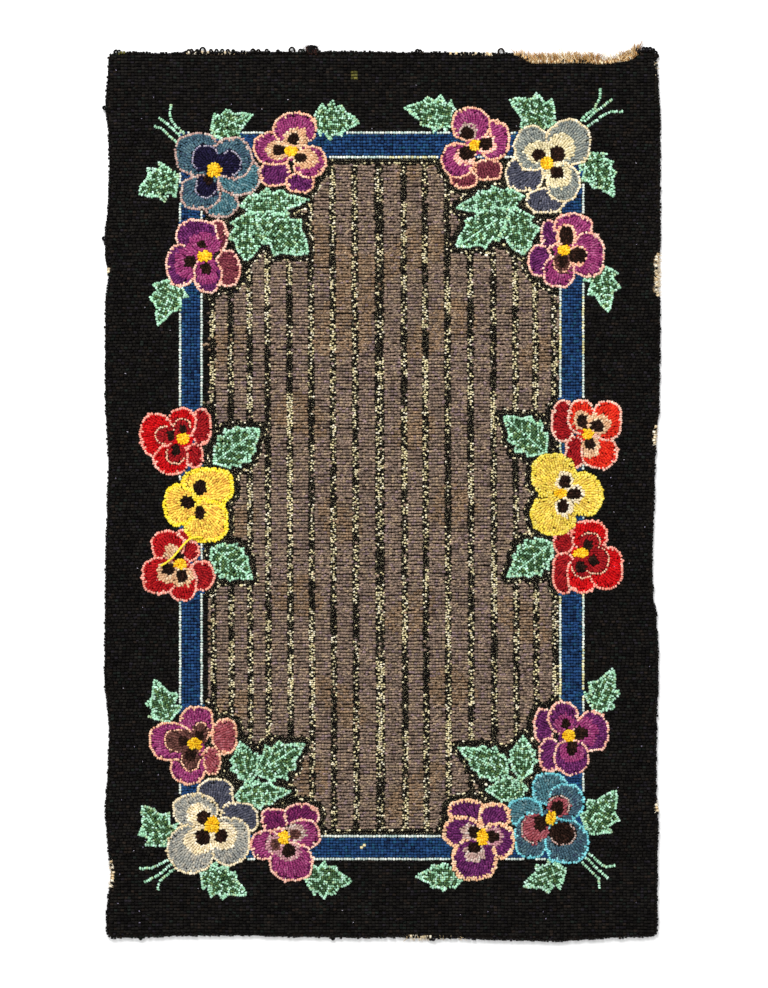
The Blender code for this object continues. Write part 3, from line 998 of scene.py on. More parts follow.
def lay_pile(edge):
    """All loops inside edge, a closed line of points for the outermost row."""
    def inside(x, y):
        return -polygon_gap(edge, x, y)

    pile = Pile()
    lay_edge_row(pile, edge)
    lay_rims(pile)
    lay_stems(pile)
    lay_motif_fill(pile)
    lay_band(pile)
    lay_rings(pile)
    lay_field(pile)
    lay_border(pile, inside)
    fill_holes(pile, inside)
    return pile


# Sizes of the made pieces, in metres
MM = 0.001
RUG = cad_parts["hooked_rug"]
RUG_LOW, RUG_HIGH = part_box("hooked_rug")
BURLAP_TOP = 0.0016
YARN_DIAMETER = 0.0028
YARN_HUMP = 0.0008
YARN_REST = 0.0003

# The loops' sides, in the border the plain ones, the share of a loop that its ridge takes up, and the
# heights of its foot, waist and top and of the highest pile, in millimetres
LOOP_SIDES = 6
PLAIN_SIDES = 4
LOOP_RIDGE = 0.6
LOOP_FOOT = 1.0
LOOP_WAIST = 4.6
LOOP_TOP = 6.8
PILE_LIMIT = 7.25

# How the photo shows the rug: its size and the rug's middle in pixels
PHOTO_SCALE = 1.2          # millimetres of rug for each pixel of the photo
PHOTO_SIZE = (768, 988)
RUG_MIDDLE_PIXEL = (382.25, 495.5)
LENS = 100.0
SENSOR = 36.0


def deselect_all():
    if bpy.context.mode != "OBJECT":
        bpy.ops.object.mode_set(mode="OBJECT")
    bpy.ops.object.select_all(action="DESELECT")


def rgb(code):
    """A six-figure display colour as linear red, green and blue."""
    parts = [int(code[i:i + 2], 16) / 255 for i in (0, 2, 4)]
    return [p / 12.92 if p <= 0.04045 else ((p + 0.055) / 1.055) ** 2.4 for p in parts]


# Camera, straight above the rug as in the photo
def make_camera():
    high = PHOTO_SIZE[1] * PHOTO_SCALE * MM
    distance = high * LENS / SENSOR + RUG_HIGH[2]
    data = bpy.data.cameras.new("camera")
    data.lens = LENS
    data.sensor_fit = "VERTICAL"
    data.sensor_height = SENSOR
    data.clip_end = 60
    camera = bpy.data.objects.new("camera", data)
    camera.location = (
        (PHOTO_SIZE[0] / 2 - RUG_MIDDLE_PIXEL[0]) * PHOTO_SCALE * MM,
        (RUG_MIDDLE_PIXEL[1] - PHOTO_SIZE[1] / 2) * PHOTO_SCALE * MM,
        distance,
    )
    bpy.context.collection.objects.link(camera)
    bpy.context.scene.camera = camera


make_camera()


# Node helpers
def new_material(name):
    material = bpy.data.materials.new(name)
    material.use_nodes = True
    return material, material.node_tree.nodes, material.node_tree.links


def math_node(nodes, links, operation, first, second=None, third=None):
    node = nodes.new("ShaderNodeMath")
    node.operation = operation
    for socket, value in zip(node.inputs, (first, second, third)):
        if value is None:
            continue
        if isinstance(value, (int, float)):
            socket.default_value = value
        else:
            links.new(value, socket)
    return node.outputs[0]


def mix_colour(nodes, links, blend, factor, first, second):
    node = nodes.new("ShaderNodeMix")
    node.data_type = "RGBA"
    node.blend_type = blend
    for socket, value in ((node.inputs[0], factor), (node.inputs[6], first), (node.inputs[7], second)):
        if isinstance(value, (int, float)):
            socket.default_value = value
        elif isinstance(value, (tuple, list)):
            socket.default_value = (*value, 1) if len(value) == 3 else value
        else:
            links.new(value, socket)
    return node.outputs[2]


def remap(nodes, links, value, low, high, to_low, to_high):
    node = nodes.new("ShaderNodeMapRange")
    links.new(value, node.inputs[0])
    for socket, number in zip(list(node.inputs)[1:5], (low, high, to_low, to_high)):
        socket.default_value = number
    return node.outputs[0]


def noise(nodes, links, vector, scale, detail=2.0, rough=0.5):
    node = nodes.new("ShaderNodeTexNoise")
    links.new(vector, node.inputs["Vector"])
    node.inputs["Scale"].default_value = scale
    node.inputs["Detail"].default_value = detail
    node.inputs["Roughness"].default_value = rough
    return node.outputs["Fac"]


def new_group(name, inputs, outputs):
    group = bpy.data.node_groups.new(name, "ShaderNodeTree")
    for label, kind, default in inputs:
        socket = group.interface.new_socket(label, in_out="INPUT", socket_type=kind)
        if default is not None:
            socket.default_value = default
    for label, kind in outputs:
        group.interface.new_socket(label, in_out="OUTPUT", socket_type=kind)
    start = group.nodes.new("NodeGroupInput")
    end = group.nodes.new("NodeGroupOutput")
    return group, group.nodes, group.links, start.outputs, end.inputs


# How fine the fibres, tufts, flecks and patches of dye are, as turns of noise in a metre
FIBRE_FINENESS = 2600
TUFT_FINENESS = 750
FLECK_FINENESS = 1000
DYE_FINENESS = 34
DARK_FLECK = "17130f"
PALE_FLECK = "e6dab0"
RELIEF_DEPTH = 0.0006


def make_wool_group():
    """The wool of a loop: twisted plies with painted shade in their grooves, fuzzy fibres, uneven dye, and
    painted shade low in the pile that darkens the loops towards their feet.
    """
    group, nodes, links, given, out = new_group(
        "wool loop",
        (
            ("Wool", "NodeSocketColor", (0.5, 0.5, 0.5, 1)),
            ("Yarn", "NodeSocketVector", None),
            ("Place", "NodeSocketVector", None),
            ("Ply Length", "NodeSocketFloat", 1.5),
            ("Twist Shade", "NodeSocketFloat", 0.3),
            ("Fibre Shade", "NodeSocketFloat", 0.25),
            ("Grain Shade", "NodeSocketFloat", 0.4),
            ("Fleck Level", "NodeSocketFloat", 0.0),
            ("Pale Level", "NodeSocketFloat", 1.0),
            ("Low Shade", "NodeSocketFloat", 0.5),
        ),
        (
            ("Colour", "NodeSocketColor"),
            ("Roughness", "NodeSocketFloat"),
            ("Height", "NodeSocketFloat"),
        ),
    )
    split = nodes.new("ShaderNodeSeparateXYZ")
    links.new(given["Yarn"], split.inputs[0])
    lean = math_node(nodes, links, "MULTIPLY_ADD", split.outputs[1], 0.8, split.outputs[0])
    turn = math_node(nodes, links, "DIVIDE", lean, given["Ply Length"])
    wave = math_node(nodes, links, "SINE", math_node(nodes, links, "MULTIPLY", turn, 2 * math.pi))
    ply = remap(nodes, links, wave, -1, 1, 0, 1)
    fibre = noise(nodes, links, given["Place"], FIBRE_FINENESS, 3, 0.7)
    tuft = noise(nodes, links, given["Place"], TUFT_FINENESS, 2, 0.6)
    fleck = noise(nodes, links, given["Place"], FLECK_FINENESS, 1, 0.5)
    dye = noise(nodes, links, given["Place"], DYE_FINENESS, 3, 0.6)
    # Painted shade in the grooves between the plies, as deep as Twist Shade
    painted_groove_shade = math_node(nodes, links, "MULTIPLY", remap(nodes, links, ply, 0, 1, 1, 0), given["Twist Shade"])
    shade = math_node(nodes, links, "SUBTRACT", 1.0, painted_groove_shade)
    fuzz = remap(nodes, links, fibre, 0.3, 0.7, -0.5, 0.5)
    fuzz = math_node(nodes, links, "MULTIPLY_ADD", fuzz, given["Fibre Shade"], 1.0)
    shade = math_node(nodes, links, "MULTIPLY", shade, fuzz)
    grain = remap(nodes, links, tuft, 0.3, 0.7, -0.5, 0.5)
    grain = math_node(nodes, links, "MULTIPLY_ADD", grain, given["Grain Shade"], 1.0)
    shade = math_node(nodes, links, "MULTIPLY", shade, grain)
    shade = math_node(nodes, links, "MULTIPLY", shade, remap(nodes, links, dye, 0.3, 0.7, 0.86, 1.1))
    # Painted shade low in the pile: the colour darkens from 5.6 mm high down to 1.5 mm, where only Low
    # Shade of it is left
    painted_low_shade = remap(nodes, links, split.outputs[2], 1.5, 5.6, 0.0, 1.0)
    painted_low_shade = math_node(nodes, links, "MULTIPLY_ADD", painted_low_shade, math_node(
        nodes, links, "SUBTRACT", 1.0, given["Low Shade"]), given["Low Shade"])
    shade = math_node(nodes, links, "MULTIPLY", shade, painted_low_shade)
    grey = nodes.new("ShaderNodeCombineColor")
    for socket in grey.inputs[:3]:
        links.new(shade, socket)
    above = math_node(nodes, links, "SUBTRACT", fleck, given["Fleck Level"])
    dark = remap(nodes, links, above, -0.02, 0.02, 1, 0)
    flecked = mix_colour(nodes, links, "MIX", dark, given["Wool"], rgb(DARK_FLECK))
    over = math_node(nodes, links, "SUBTRACT", fleck, given["Pale Level"])
    pale = remap(nodes, links, over, -0.02, 0.02, 0, 1)
    flecked = mix_colour(nodes, links, "MIX", pale, flecked, rgb(PALE_FLECK))
    tinted = mix_colour(nodes, links, "MULTIPLY", 1.0, flecked, grey.outputs[0])
    links.new(tinted, out["Colour"])
    links.new(remap(nodes, links, fibre, 0.25, 0.75, 0.82, 1.0), out["Roughness"])
    height = math_node(nodes, links, "MULTIPLY_ADD", ply, 0.55, fibre)
    links.new(math_node(nodes, links, "MULTIPLY_ADD", tuft, 0.5, height), out["Height"])
    return group


def read_place(nodes):
    return nodes.new("ShaderNodeTexCoord").outputs["Object"]


def read_attribute(nodes, name, output):
    node = nodes.new("ShaderNodeAttribute")
    node.attribute_name = name
    return node.outputs[output]


# low is the share of colour that the painted shade leaves at a loop's foot, and twist the depth of the
# painted shade in its ply grooves
WoolLook = namedtuple(
    "WoolLook", "ply_length twist fibre grain low fleck pale bump", defaults=(0.0, 1.0, 0.35)
)


def finish_wool(name, group, look):
    """A wool material with its own twist and grain, on the group that all wools share."""
    material, nodes, links = new_material(name)
    shader = nodes["Principled BSDF"]
    wool = nodes.new("ShaderNodeGroup")
    wool.node_tree = group
    links.new(read_attribute(nodes, "wool", "Color"), wool.inputs["Wool"])
    links.new(read_attribute(nodes, "yarn", "Vector"), wool.inputs["Yarn"])
    links.new(read_place(nodes), wool.inputs["Place"])
    wool.inputs["Ply Length"].default_value = look.ply_length
    wool.inputs["Twist Shade"].default_value = look.twist
    wool.inputs["Fibre Shade"].default_value = look.fibre
    wool.inputs["Grain Shade"].default_value = look.grain
    wool.inputs["Low Shade"].default_value = look.low
    wool.inputs["Fleck Level"].default_value = look.fleck
    wool.inputs["Pale Level"].default_value = look.pale
    relief = nodes.new("ShaderNodeBump")
    relief.inputs["Strength"].default_value = look.bump
    relief.inputs["Distance"].default_value = RELIEF_DEPTH
    links.new(wool.outputs["Height"], relief.inputs["Height"])
    links.new(wool.outputs["Colour"], shader.inputs["Base Color"])
    links.new(wool.outputs["Roughness"], shader.inputs["Roughness"])
    links.new(relief.outputs["Normal"], shader.inputs["Normal"])
    shader.inputs["Specular IOR Level"].default_value = 0.04
    return material


WOOL_GROUP = make_wool_group()


# The loose yellow yarn, on the route of its solid
YARN_ROUTE = (
    (-0.2148, -0.0510), (-0.2220, -0.0506), (-0.2280, -0.0518), (-0.2340, -0.0554),
    (-0.2410, -0.0632), (-0.2506, -0.0744), (-0.2592, -0.0814), (-0.2658, -0.0852),
)
YARN_SHIFT = (-0.0003, 0.0006)
YARN_STEPS = 72
YARN_SIDES = 12
YARN_TURNS_PER_METRE = 190
YARN_LOOK = WoolLook(2.6, 0.3, 0.3, 0.2, 1.0)


def smooth_route(points, steps):
    """Points evenly apart on a smooth curve through the given ones."""
    ends = [points[0] * 2 - points[1]] + points + [points[-1] * 2 - points[-2]]
    dense = []
    for before, start, stop, after in zip(ends, ends[1:], ends[2:], ends[3:]):
        for part in range(12):
            t = part / 12
            dense.append(0.5 * (
                2 * start + (stop - before) * t
                + (2 * before - 5 * start + 4 * stop - after) * t ** 2
                + (3 * start - before - 3 * stop + after) * t ** 3
            ))
    dense.append(points[-1])
    lengths = [0.0]
    for here, there in zip(dense, dense[1:]):
        lengths.append(lengths[-1] + (there - here).length)
    at = np.linspace(0, lengths[-1], steps + 1)
    table = np.array([tuple(p) for p in dense])
    return [Vector([np.interp(a, lengths, table[:, k]) for k in range(3)]) for a in at], lengths[-1]


def new_yarn_mesh():
    """An empty mesh under way, with the layers that the wool materials read."""
    bm = bmesh.new()
    bm.verts.layers.float_color.new("wool")
    bm.verts.layers.float_vector.new("yarn")
    return bm


def add_tube(bm, path, radii, sides, colour, waist=0.0, turns=0.0):
    """A closed tube on a path of places. Its waist turns along it, as two plies wound together."""
    wool = bm.verts.layers.float_color["wool"]
    yarn = bm.verts.layers.float_vector["yarn"]
    last = len(path) - 1
    along = 0.0
    rings = []
    for i, here in enumerate(path):
        ahead = (path[min(i + 1, last)] - path[max(i - 1, 0)]).normalized()
        side = ahead.cross(Vector((0, 0, 1))).normalized()
        above = side.cross(ahead)
        if i:
            along += (here - path[i - 1]).length
        twist = math.pi * turns * along
        ring = []
        for k in range(sides):
            angle = 2 * math.pi * k / sides
            reach = radii[i] * (1 - waist + waist * math.cos(2 * (angle - twist)))
            vert = bm.verts.new(here + (side * math.cos(angle) + above * math.sin(angle)) * reach)
            vert[wool] = (*colour, 1)
            # The height is that of the pile's top, so the material paints no shade low on these tubes
            vert[yarn] = (along / MM, 1.4 * math.sin(angle), 6.8)
            ring.append(vert)
        rings.append(ring)
    for near, far in zip(rings, rings[1:]):
        for k in range(sides):
            n = (k + 1) % sides
            bm.faces.new((near[k], near[n], far[n], far[k]))
    bm.faces.new(rings[0][::-1])
    bm.faces.new(rings[-1])


def link_piece(name, bm, material, smooth=True):
    """A finished piece from a mesh under way, riding on the rug."""
    bmesh.ops.recalc_face_normals(bm, faces=bm.faces)
    mesh = bpy.data.meshes.new(name)
    bm.to_mesh(mesh)
    bm.free()
    mesh.polygons.foreach_set("use_smooth", [smooth] * len(mesh.polygons))
    mesh.materials.append(material)
    piece = bpy.data.objects.new(name, mesh)
    bpy.context.collection.objects.link(piece)
    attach(piece, "root")
    return piece


def make_loose_yarn():
    """The pulled end of yellow yarn, two plies wound round each other and slimmer at the ends."""
    rest = RUG_HIGH[2] + YARN_REST + YARN_DIAMETER / 2
    last = len(YARN_ROUTE) - 1
    through = [
        Vector((x + YARN_SHIFT[0], y + YARN_SHIFT[1], rest + YARN_HUMP * math.sin(math.pi * i / last)))
        for i, (x, y) in enumerate(YARN_ROUTE)
    ]
    path, length = smooth_route(through, YARN_STEPS)
    radii = [
        YARN_DIAMETER / 2 * min(1.0, 0.55 + 0.45 * min(i, YARN_STEPS - i) / 2)
        for i in range(YARN_STEPS + 1)
    ]
    bm = new_yarn_mesh()
    add_tube(bm, path, radii, YARN_SIDES, rgb("efd63a"), waist=0.13, turns=YARN_TURNS_PER_METRE)
    finish = finish_wool("yellow wool yarn", WOOL_GROUP, YARN_LOOK)
    piece = link_piece("loose_yarn_strand", bm, finish)
    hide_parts("loose_yarn")


make_loose_yarn()


# The pile
def rug_ring(low, high):
    """The rug solid's corner points between two heights, in order round it, in millimetres."""
    points = np.empty(len(RUG.data.vertices) * 3)
    RUG.data.vertices.foreach_get("co", points)
    points = points.reshape(-1, 3)
    ring = points[(points[:, 2] >= low) & (points[:, 2] <= high)][:, :2] / MM
    ring = np.unique(np.round(ring, 2), axis=0)
    # The rug is seen from its middle without anything hidden, so the angle orders its rim
    return ring[np.argsort(np.arctan2(ring[:, 1] * 0.62, ring[:, 0]))]


def pick_points(mesh, wanted):
    """Selects only the points of the mesh in edit mode that wanted(place) is true for."""
    bpy.ops.mesh.select_all(action="DESELECT")
    shape = bmesh.from_edit_mesh(mesh)
    for vert in shape.verts:
        vert.select = bool(wanted(vert.co))
    shape.select_flush(True)
    bmesh.update_edit_mesh(mesh)


def model_loop(sides):
    """One loop of yarn, drawn up through the ground into a short arc: its points and faces.

    It is a unit long and wide each way from its middle, and its height is in millimetres."""
    deselect_all()
    bpy.ops.mesh.primitive_cone_add(
        vertices=sides, radius1=1.0, radius2=LOOP_RIDGE, depth=LOOP_TOP - LOOP_WAIST,
        end_fill_type="TRIFAN", location=(0, 0, (LOOP_TOP + LOOP_WAIST) / 2),
        rotation=(0, 0, math.pi / sides),
    )
    bpy.ops.object.transform_apply(location=True, rotation=True, scale=True)
    loop = bpy.context.object
    loop.name = "loop_pattern"
    bpy.ops.object.mode_set(mode="EDIT")
    middle = (LOOP_WAIST + LOOP_TOP) / 2
    pick_points(loop.data, lambda co: co.z < middle and math.hypot(co.x, co.y) < 0.1)
    bpy.ops.transform.translate(value=(0, 0, LOOP_FOOT - LOOP_WAIST))
    # The top ring is gathered into the two ends of the arc's ridge
    pick_points(loop.data, lambda co: co.z > middle and math.hypot(co.x, co.y) < 0.1)
    bpy.ops.mesh.dissolve_verts()
    for side in (-1, 1):
        pick_points(loop.data, lambda co: co.z > middle and co.x * side > 0.01)
        bpy.ops.mesh.merge(type="CENTER")
    bpy.ops.mesh.select_all(action="SELECT")
    bpy.ops.mesh.quads_convert_to_tris()
    bpy.ops.mesh.normals_make_consistent(inside=False)
    bpy.ops.object.mode_set(mode="OBJECT")
    points = np.array([tuple(v.co) for v in loop.data.vertices])
    faces = np.array([tuple(p.vertices) for p in loop.data.polygons])
    bpy.data.objects.remove(loop)
    return points, faces


def wool_colours(wools, spread):
    """A dyed colour for each loop, lighter or darker by chance."""
    colours = np.empty((len(wools), 3))
    for index, name in enumerate(WOOL_NAMES):
        mine = np.flatnonzero(wools == index)
        dyes = np.array([rgb(code) for code, _ in WOOLS[name]])
        shares = np.array([share for _, share in WOOLS[name]], float)
        colours[mine] = dyes[CHANCE.choice(len(dyes), len(mine), p=shares / shares.sum())]
    return colours * CHANCE.uniform(*spread, (len(wools), 1))


# How far from the middle of its square a loop's rim and its foot lie in the bake map
RIM_CELL = 0.31
FOOT_CELL = 0.44


def bake_cells(points, faces, count):
    """Each loop's own square of the bake map: its top in the middle, its underside round that."""
    side = math.ceil(math.sqrt(count))
    reach = np.abs(points[:, :2]).max()
    flat = points[:, :2] / reach
    corner = np.empty((len(faces), 3, 2))
    foot = int(np.argmin(points[:, 2]))
    for number, face in enumerate(faces):
        for k, vert in enumerate(face):
            corner[number, k] = flat[vert] * RIM_CELL
        if foot in face:
            rim = [k for k, vert in enumerate(face) if vert != foot]
            middle = corner[number, rim].mean(axis=0)
            corner[number, list(face).index(foot)] = middle / np.linalg.norm(middle) * FOOT_CELL
    cell = np.arange(count)
    start = np.column_stack([cell % side, cell // side])
    return ((start[:, None, None, :] + 0.5 + corner[None]) / side).reshape(-1, 2)


def make_loops(name, rows, material):
    """One joined mesh of all the loops given, as copies of the loop pattern."""
    points, faces = LOOP_PATTERNS.get(rows[0][4], FULL_LOOP)
    count = len(rows)
    x, y, turn, wool = (np.array([row[k] for row in rows]) for k in range(4))
    size = np.array([(row[5], row[6]) for row in rows])
    turn = turn + CHANCE.normal(0, 0.09, count)
    grow = CHANCE.normal(1.0, 0.05, (count, 2)) * size
    tall = CHANCE.normal(1.0, 0.035, count)
    u = points[None, :, 0] * grow[:, :1]
    v = points[None, :, 1] * grow[:, 1:]
    lean = CHANCE.normal(0, 0.05, (count, 2))
    rise = points[None, :, 2] - LOOP_FOOT
    place = np.empty((count, len(points), 3))
    cosine, sine = np.cos(turn)[:, None], np.sin(turn)[:, None]
    place[:, :, 0] = x[:, None] + u * cosine - v * sine + lean[:, :1] * rise
    place[:, :, 1] = y[:, None] + u * sine + v * cosine + lean[:, 1:] * rise
    place[:, :, 2] = np.minimum(LOOP_FOOT + rise * tall[:, None], PILE_LIMIT)
    corners = (faces[None] + (np.arange(count) * len(points))[:, None, None]).reshape(-1)
    mesh = bpy.data.meshes.new(name)
    mesh.vertices.add(count * len(points))
    mesh.vertices.foreach_set("co", (place * MM).reshape(-1))
    mesh.loops.add(len(corners))
    mesh.loops.foreach_set("vertex_index", corners.astype(np.int32))
    mesh.polygons.add(len(corners) // 3)
    mesh.polygons.foreach_set("loop_start", np.arange(0, len(corners), 3, dtype=np.int32))
    mesh.polygons.foreach_set("use_smooth", np.ones(len(corners) // 3, bool))
    colours = np.ones((count, len(points), 4), np.float32)
    spread = SHADE_SPREADS.get(rows[0][4], PLAIN_SPREAD)
    colours[:, :, :3] = wool_colours(wool, spread)[:, None, :]
    mesh.attributes.new("wool", "FLOAT_COLOR", "POINT").data.foreach_set("color", colours.reshape(-1))
    yarn = np.empty((count, len(points), 3), np.float32)
    yarn[:, :, 0] = u + CHANCE.uniform(0, 4, (count, 1))
    yarn[:, :, 1] = v
    # The height goes to the wool material, which paints shade low in the pile from it
    yarn[:, :, 2] = place[:, :, 2]
    mesh.attributes.new("yarn", "FLOAT_VECTOR", "POINT").data.foreach_set("vector", yarn.reshape(-1))
    cells = bake_cells(points, faces, count)
    mesh.uv_layers.new(name="OFBake").data.foreach_set("uv", cells.reshape(-1).astype(np.float32))
    mesh.update()
    mesh.validate()
    mesh.materials.append(material)
    piece = bpy.data.objects.new(name, mesh)
    bpy.context.collection.objects.link(piece)
    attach(piece, "root")
    return piece


FULL_LOOP = model_loop(LOOP_SIDES)
LOOP_PATTERNS = {"border": model_loop(PLAIN_SIDES)}
PILE_EDGE, _ = offset_rim(rug_ring(6.9 * MM, 8 * MM), 1.0, EDGE_PITCH)
PILE = lay_pile(PILE_EDGE)

LoopPiece = namedtuple("LoopPiece", "name family half slot")
LOOP_PIECES = (
    LoopPiece("border_loops_upper", "border", 1, "dark_wool"),
    LoopPiece("border_loops_lower", "border", -1, "dark_wool"),
    LoopPiece("field_loops_upper", "field", 1, "field_wool"),
    LoopPiece("field_loops_lower", "field", -1, "field_wool"),
    LoopPiece("stripe_loops_upper", "line", 1, "pale_wool"),
    LoopPiece("stripe_loops_lower", "line", -1, "pale_wool"),
    LoopPiece("band_loops", "band", 0, "blue_wool"),
    LoopPiece("edging_loops", "edging", 0, "pale_wool"),
    LoopPiece("flower_loops_upper", "flower", 1, "flower_wool"),
    LoopPiece("flower_loops_lower", "flower", -1, "flower_wool"),
    LoopPiece("leaf_loops", "leaf", 0, "leaf_wool"),
)
# Each family's wool; low and twist set how much painted shade darkens its loops low in the pile and in
# their ply grooves
LOOKS = {
    "border": WoolLook(1.5, 0.25, 0.5, 0.5, 0.5),
    "field": WoolLook(1.5, 0.3, 0.8, 1.8, 0.25),
    "line": WoolLook(1.5, 0.15, 0.4, 0.6, 0.5, 0.39, 0.67),
    "band": WoolLook(1.5, 0.2, 0.4, 0.5, 0.6),
    "edging": WoolLook(1.8, 0.15, 0.25, 0.4, 0.7),
    "flower": WoolLook(1.5, 0.18, 0.32, 0.5, 0.8),
    "leaf": WoolLook(1.6, 0.2, 0.35, 0.9, 0.4),
}
# How dark and how light the dye runs in a kind of loop, and in the kinds not named
SHADE_SPREADS = {"field": (0.78, 1.26), "border": (0.55, 1.35), "leaf": (0.72, 1.2), "line": (0.72, 1.15)}
PLAIN_SPREAD = (0.84, 1.13)


def make_pile_pieces():
    """The joined loops, a piece for each kind or for each half of it."""
    finishes = {}
    made = []
    for spec in LOOP_PIECES:
        if spec.family not in finishes:
            finishes[spec.family] = finish_wool(spec.family + " wool", WOOL_GROUP, LOOKS[spec.family])
        rows = [
            row for row in PILE.rows
            if row[4] == spec.family and (spec.half == 0 or (row[1] > 0) == (spec.half > 0))
        ]
        made.append(make_loops(spec.name, rows, finishes[spec.family]))
    return made


PILE_PIECES = make_pile_pieces()


# Frayed threads: the line along which they start, how many, how far they reach in millimetres, their
# wool and how far they slant
Fray = namedtuple("Fray", "x0 y0 x1 y1 count reach wool lean", defaults=(0.1,))
FRAYS = (
    Fray(158, 526, 178, 526, 60, 7.0, "tan"),
    Fray(178, 526, 264, 526, 360, 12.5, "tan"),
    Fray(170, 526, 306, 526, 110, 11.5, "ivory"),
    Fray(264, 526, 280, 526, 30, 8.0, "tan"),
    Fray(280, 526, 308, 529, 120, 11.5, "tan", -0.5),
    Fray(278, 528, 302, 531, 70, 10, "tan", -1.9),
    Fray(210, 526, 228, 526, 6, 22, "ivory"),
    Fray(252, 526, 262, 526, 4, 15, "tan"),
    Fray(-91, 534, -77, 534, 44, 10.0, "bark"),
    Fray(-90, 534, -78, 534, 26, 9.0, "brown"),
    Fray(84, 532, 134, 532, 30, 4.0, "linen"),
    Fray(-235, 532, -160, 532, 44, 3.8, "linen"),
    Fray(329, 289, 329, 240, 130, 7.6, "linen"),
    Fray(331, 82, 331, 60, 34, 5.4, "linen"),
    Fray(331, 522, 331, 505, 16, 5.0, "linen"),
    Fray(330, -367, 330, -381, 16, 4.6, "linen"),
    Fray(-331, -437, -331, -470, 60, 5.4, "linen"),
    Fray(-332, 275, -332, 269, 9, 4.2, "linen"),
    Fray(26, -532, 58, -532, 50, 6.2, "linen"),
    Fray(63, -532, 99, -532, 20, 5.0, "linen"),
)
THREAD_RADIUS = 0.0004
THREAD_STEPS = 5

# Loops pulled out of the edge: the place, the radius of the loop's bend and how many lie there
PulledLoop = namedtuple("PulledLoop", "x y radius count")
PULLED_LOOPS = (
    PulledLoop(-318, 535, 2.4, 3), PulledLoop(-230, 535, 2.2, 2), PulledLoop(-224, 535, 2.2, 1),
    PulledLoop(-215, 535, 3.4, 1), PulledLoop(-206, 535, 1.9, 1), PulledLoop(-199, 535, 2.0, 1),
    PulledLoop(-192, 535, 1.8, 1), PulledLoop(-185, 535, 2.1, 1), PulledLoop(-178, 535, 1.8, 1),
    PulledLoop(-155, 535, 2.6, 2), PulledLoop(-110, 535, 3.4, 1), PulledLoop(-84, 535, 4.6, 7),
    PulledLoop(-86, 535, 2.6, 5), PulledLoop(-98, 535, 2.0, 1), PulledLoop(-93, 535, 1.8, 1),
    PulledLoop(-147, 535, 1.8, 1), PulledLoop(-137, 535, 2.0, 1), PulledLoop(-127, 535, 1.8, 1),
    PulledLoop(43, 535, 2.2, 3), PulledLoop(142, 535, 4.2, 1), PulledLoop(308, 533, 2.0, 3),
    PulledLoop(314, 534, 2.0, 3), PulledLoop(321, 534, 2.0, 3), PulledLoop(327, 533, 2.0, 3),
    PulledLoop(332, 528, 2.4, 2), PulledLoop(-333, 467, 2.0, 3), PulledLoop(-334, 308, 2.0, 3),
    PulledLoop(60, -534, 2.0, 2), PulledLoop(-60, -534, 1.8, 1), PulledLoop(-290, -534, 1.8, 1),
)
PULLED_RADIUS = 0.0013
LINT_COUNT = 60
LINT_RADIUS = 0.0003
THREAD_LOOK = WoolLook(2.2, 0.2, 0.4, 0.3, 1.0)
BLACK_YARN_LOOK = WoolLook(2.2, 0.3, 0.5, 0.4, 1.0)


def nearest_edge(x, y):
    """The nearest place on the pile's edge, and the way out from there."""
    k = int(np.argmin(np.hypot(PILE_EDGE[:, 0] - x, PILE_EDGE[:, 1] - y)))
    run = PILE_EDGE[(k + 2) % len(PILE_EDGE)] - PILE_EDGE[k - 2]
    out = np.array([run[1], -run[0]]) / np.hypot(*run)
    if out @ PILE_EDGE[k] < 0:
        out = -out
    return PILE_EDGE[k], out


def one_dye(name, low, high):
    """One of a wool's dyes, with its brightness by chance between low and high."""
    dyes = WOOLS[name]
    picked = dyes[int(CHANCE.integers(len(dyes)))][0]
    bright = CHANCE.uniform(low, high)
    return [part * bright for part in rgb(picked)]


def make_frays(material):
    """Threads of the burlap and of pale wool where the edge is worn."""
    bm = new_yarn_mesh()
    for fray in FRAYS:
        for _ in range(fray.count):
            share = CHANCE.uniform()
            x = fray.x0 + (fray.x1 - fray.x0) * share
            y = fray.y0 + (fray.y1 - fray.y0) * share
            edge, out = nearest_edge(x, y)
            aside = np.array([-out[1], out[0]])
            place = edge + aside * ((np.array([x, y]) - edge) @ aside) - out * CHANCE.uniform(0, 2.5)
            reach = fray.reach * CHANCE.uniform(0.6, 1.1) / (THREAD_STEPS - 1)
            slant = CHANCE.normal(fray.lean, 0.22)
            height = CHANCE.uniform(2.0, 6.6)
            path = []
            for step in range(THREAD_STEPS):
                path.append(Vector((place[0] * MM, place[1] * MM, height * MM)))
                slant += CHANCE.normal(0, 0.28)
                place = place + out * reach + aside * slant * reach
                height = min(max(height + CHANCE.normal(-0.5, 0.5), 0.5), 6.8)
            thick = THREAD_RADIUS * CHANCE.uniform(0.7, 1.25)
            radii = [thick * (1 - 0.12 * step) for step in range(THREAD_STEPS)]
            add_tube(bm, path, radii, 4, one_dye(fray.wool, 0.6, 1.15))
    return link_piece("frayed_threads", bm, material)


def make_pulled_loops(material):
    """Loops of the black wool that stand out past the edge."""
    bm = new_yarn_mesh()
    steps = 12
    for spot in PULLED_LOOPS:
        for _ in range(spot.count):
            edge, out = nearest_edge(spot.x + CHANCE.normal(0, 1.2), spot.y)
            aside = np.array([-out[1], out[0]])
            radius = spot.radius * CHANCE.uniform(0.85, 1.15)
            middle = edge + out * (radius * 0.5 + 1.0)
            height = CHANCE.uniform(2.6, 5.0)
            path = []
            for step in range(steps + 1):
                turn = math.radians(-152 + 304 * step / steps)
                place = middle + radius * (out * math.cos(turn) + aside * 0.85 * math.sin(turn))
                lift = height + 0.7 * math.sin(turn * 0.5)
                path.append(Vector((place[0] * MM, place[1] * MM, lift * MM)))
            add_tube(bm, path, [PULLED_RADIUS] * (steps + 1), 8, one_dye("black", 0.5, 1.1), 0.1, 220)
    return link_piece("pulled_loops", bm, material)


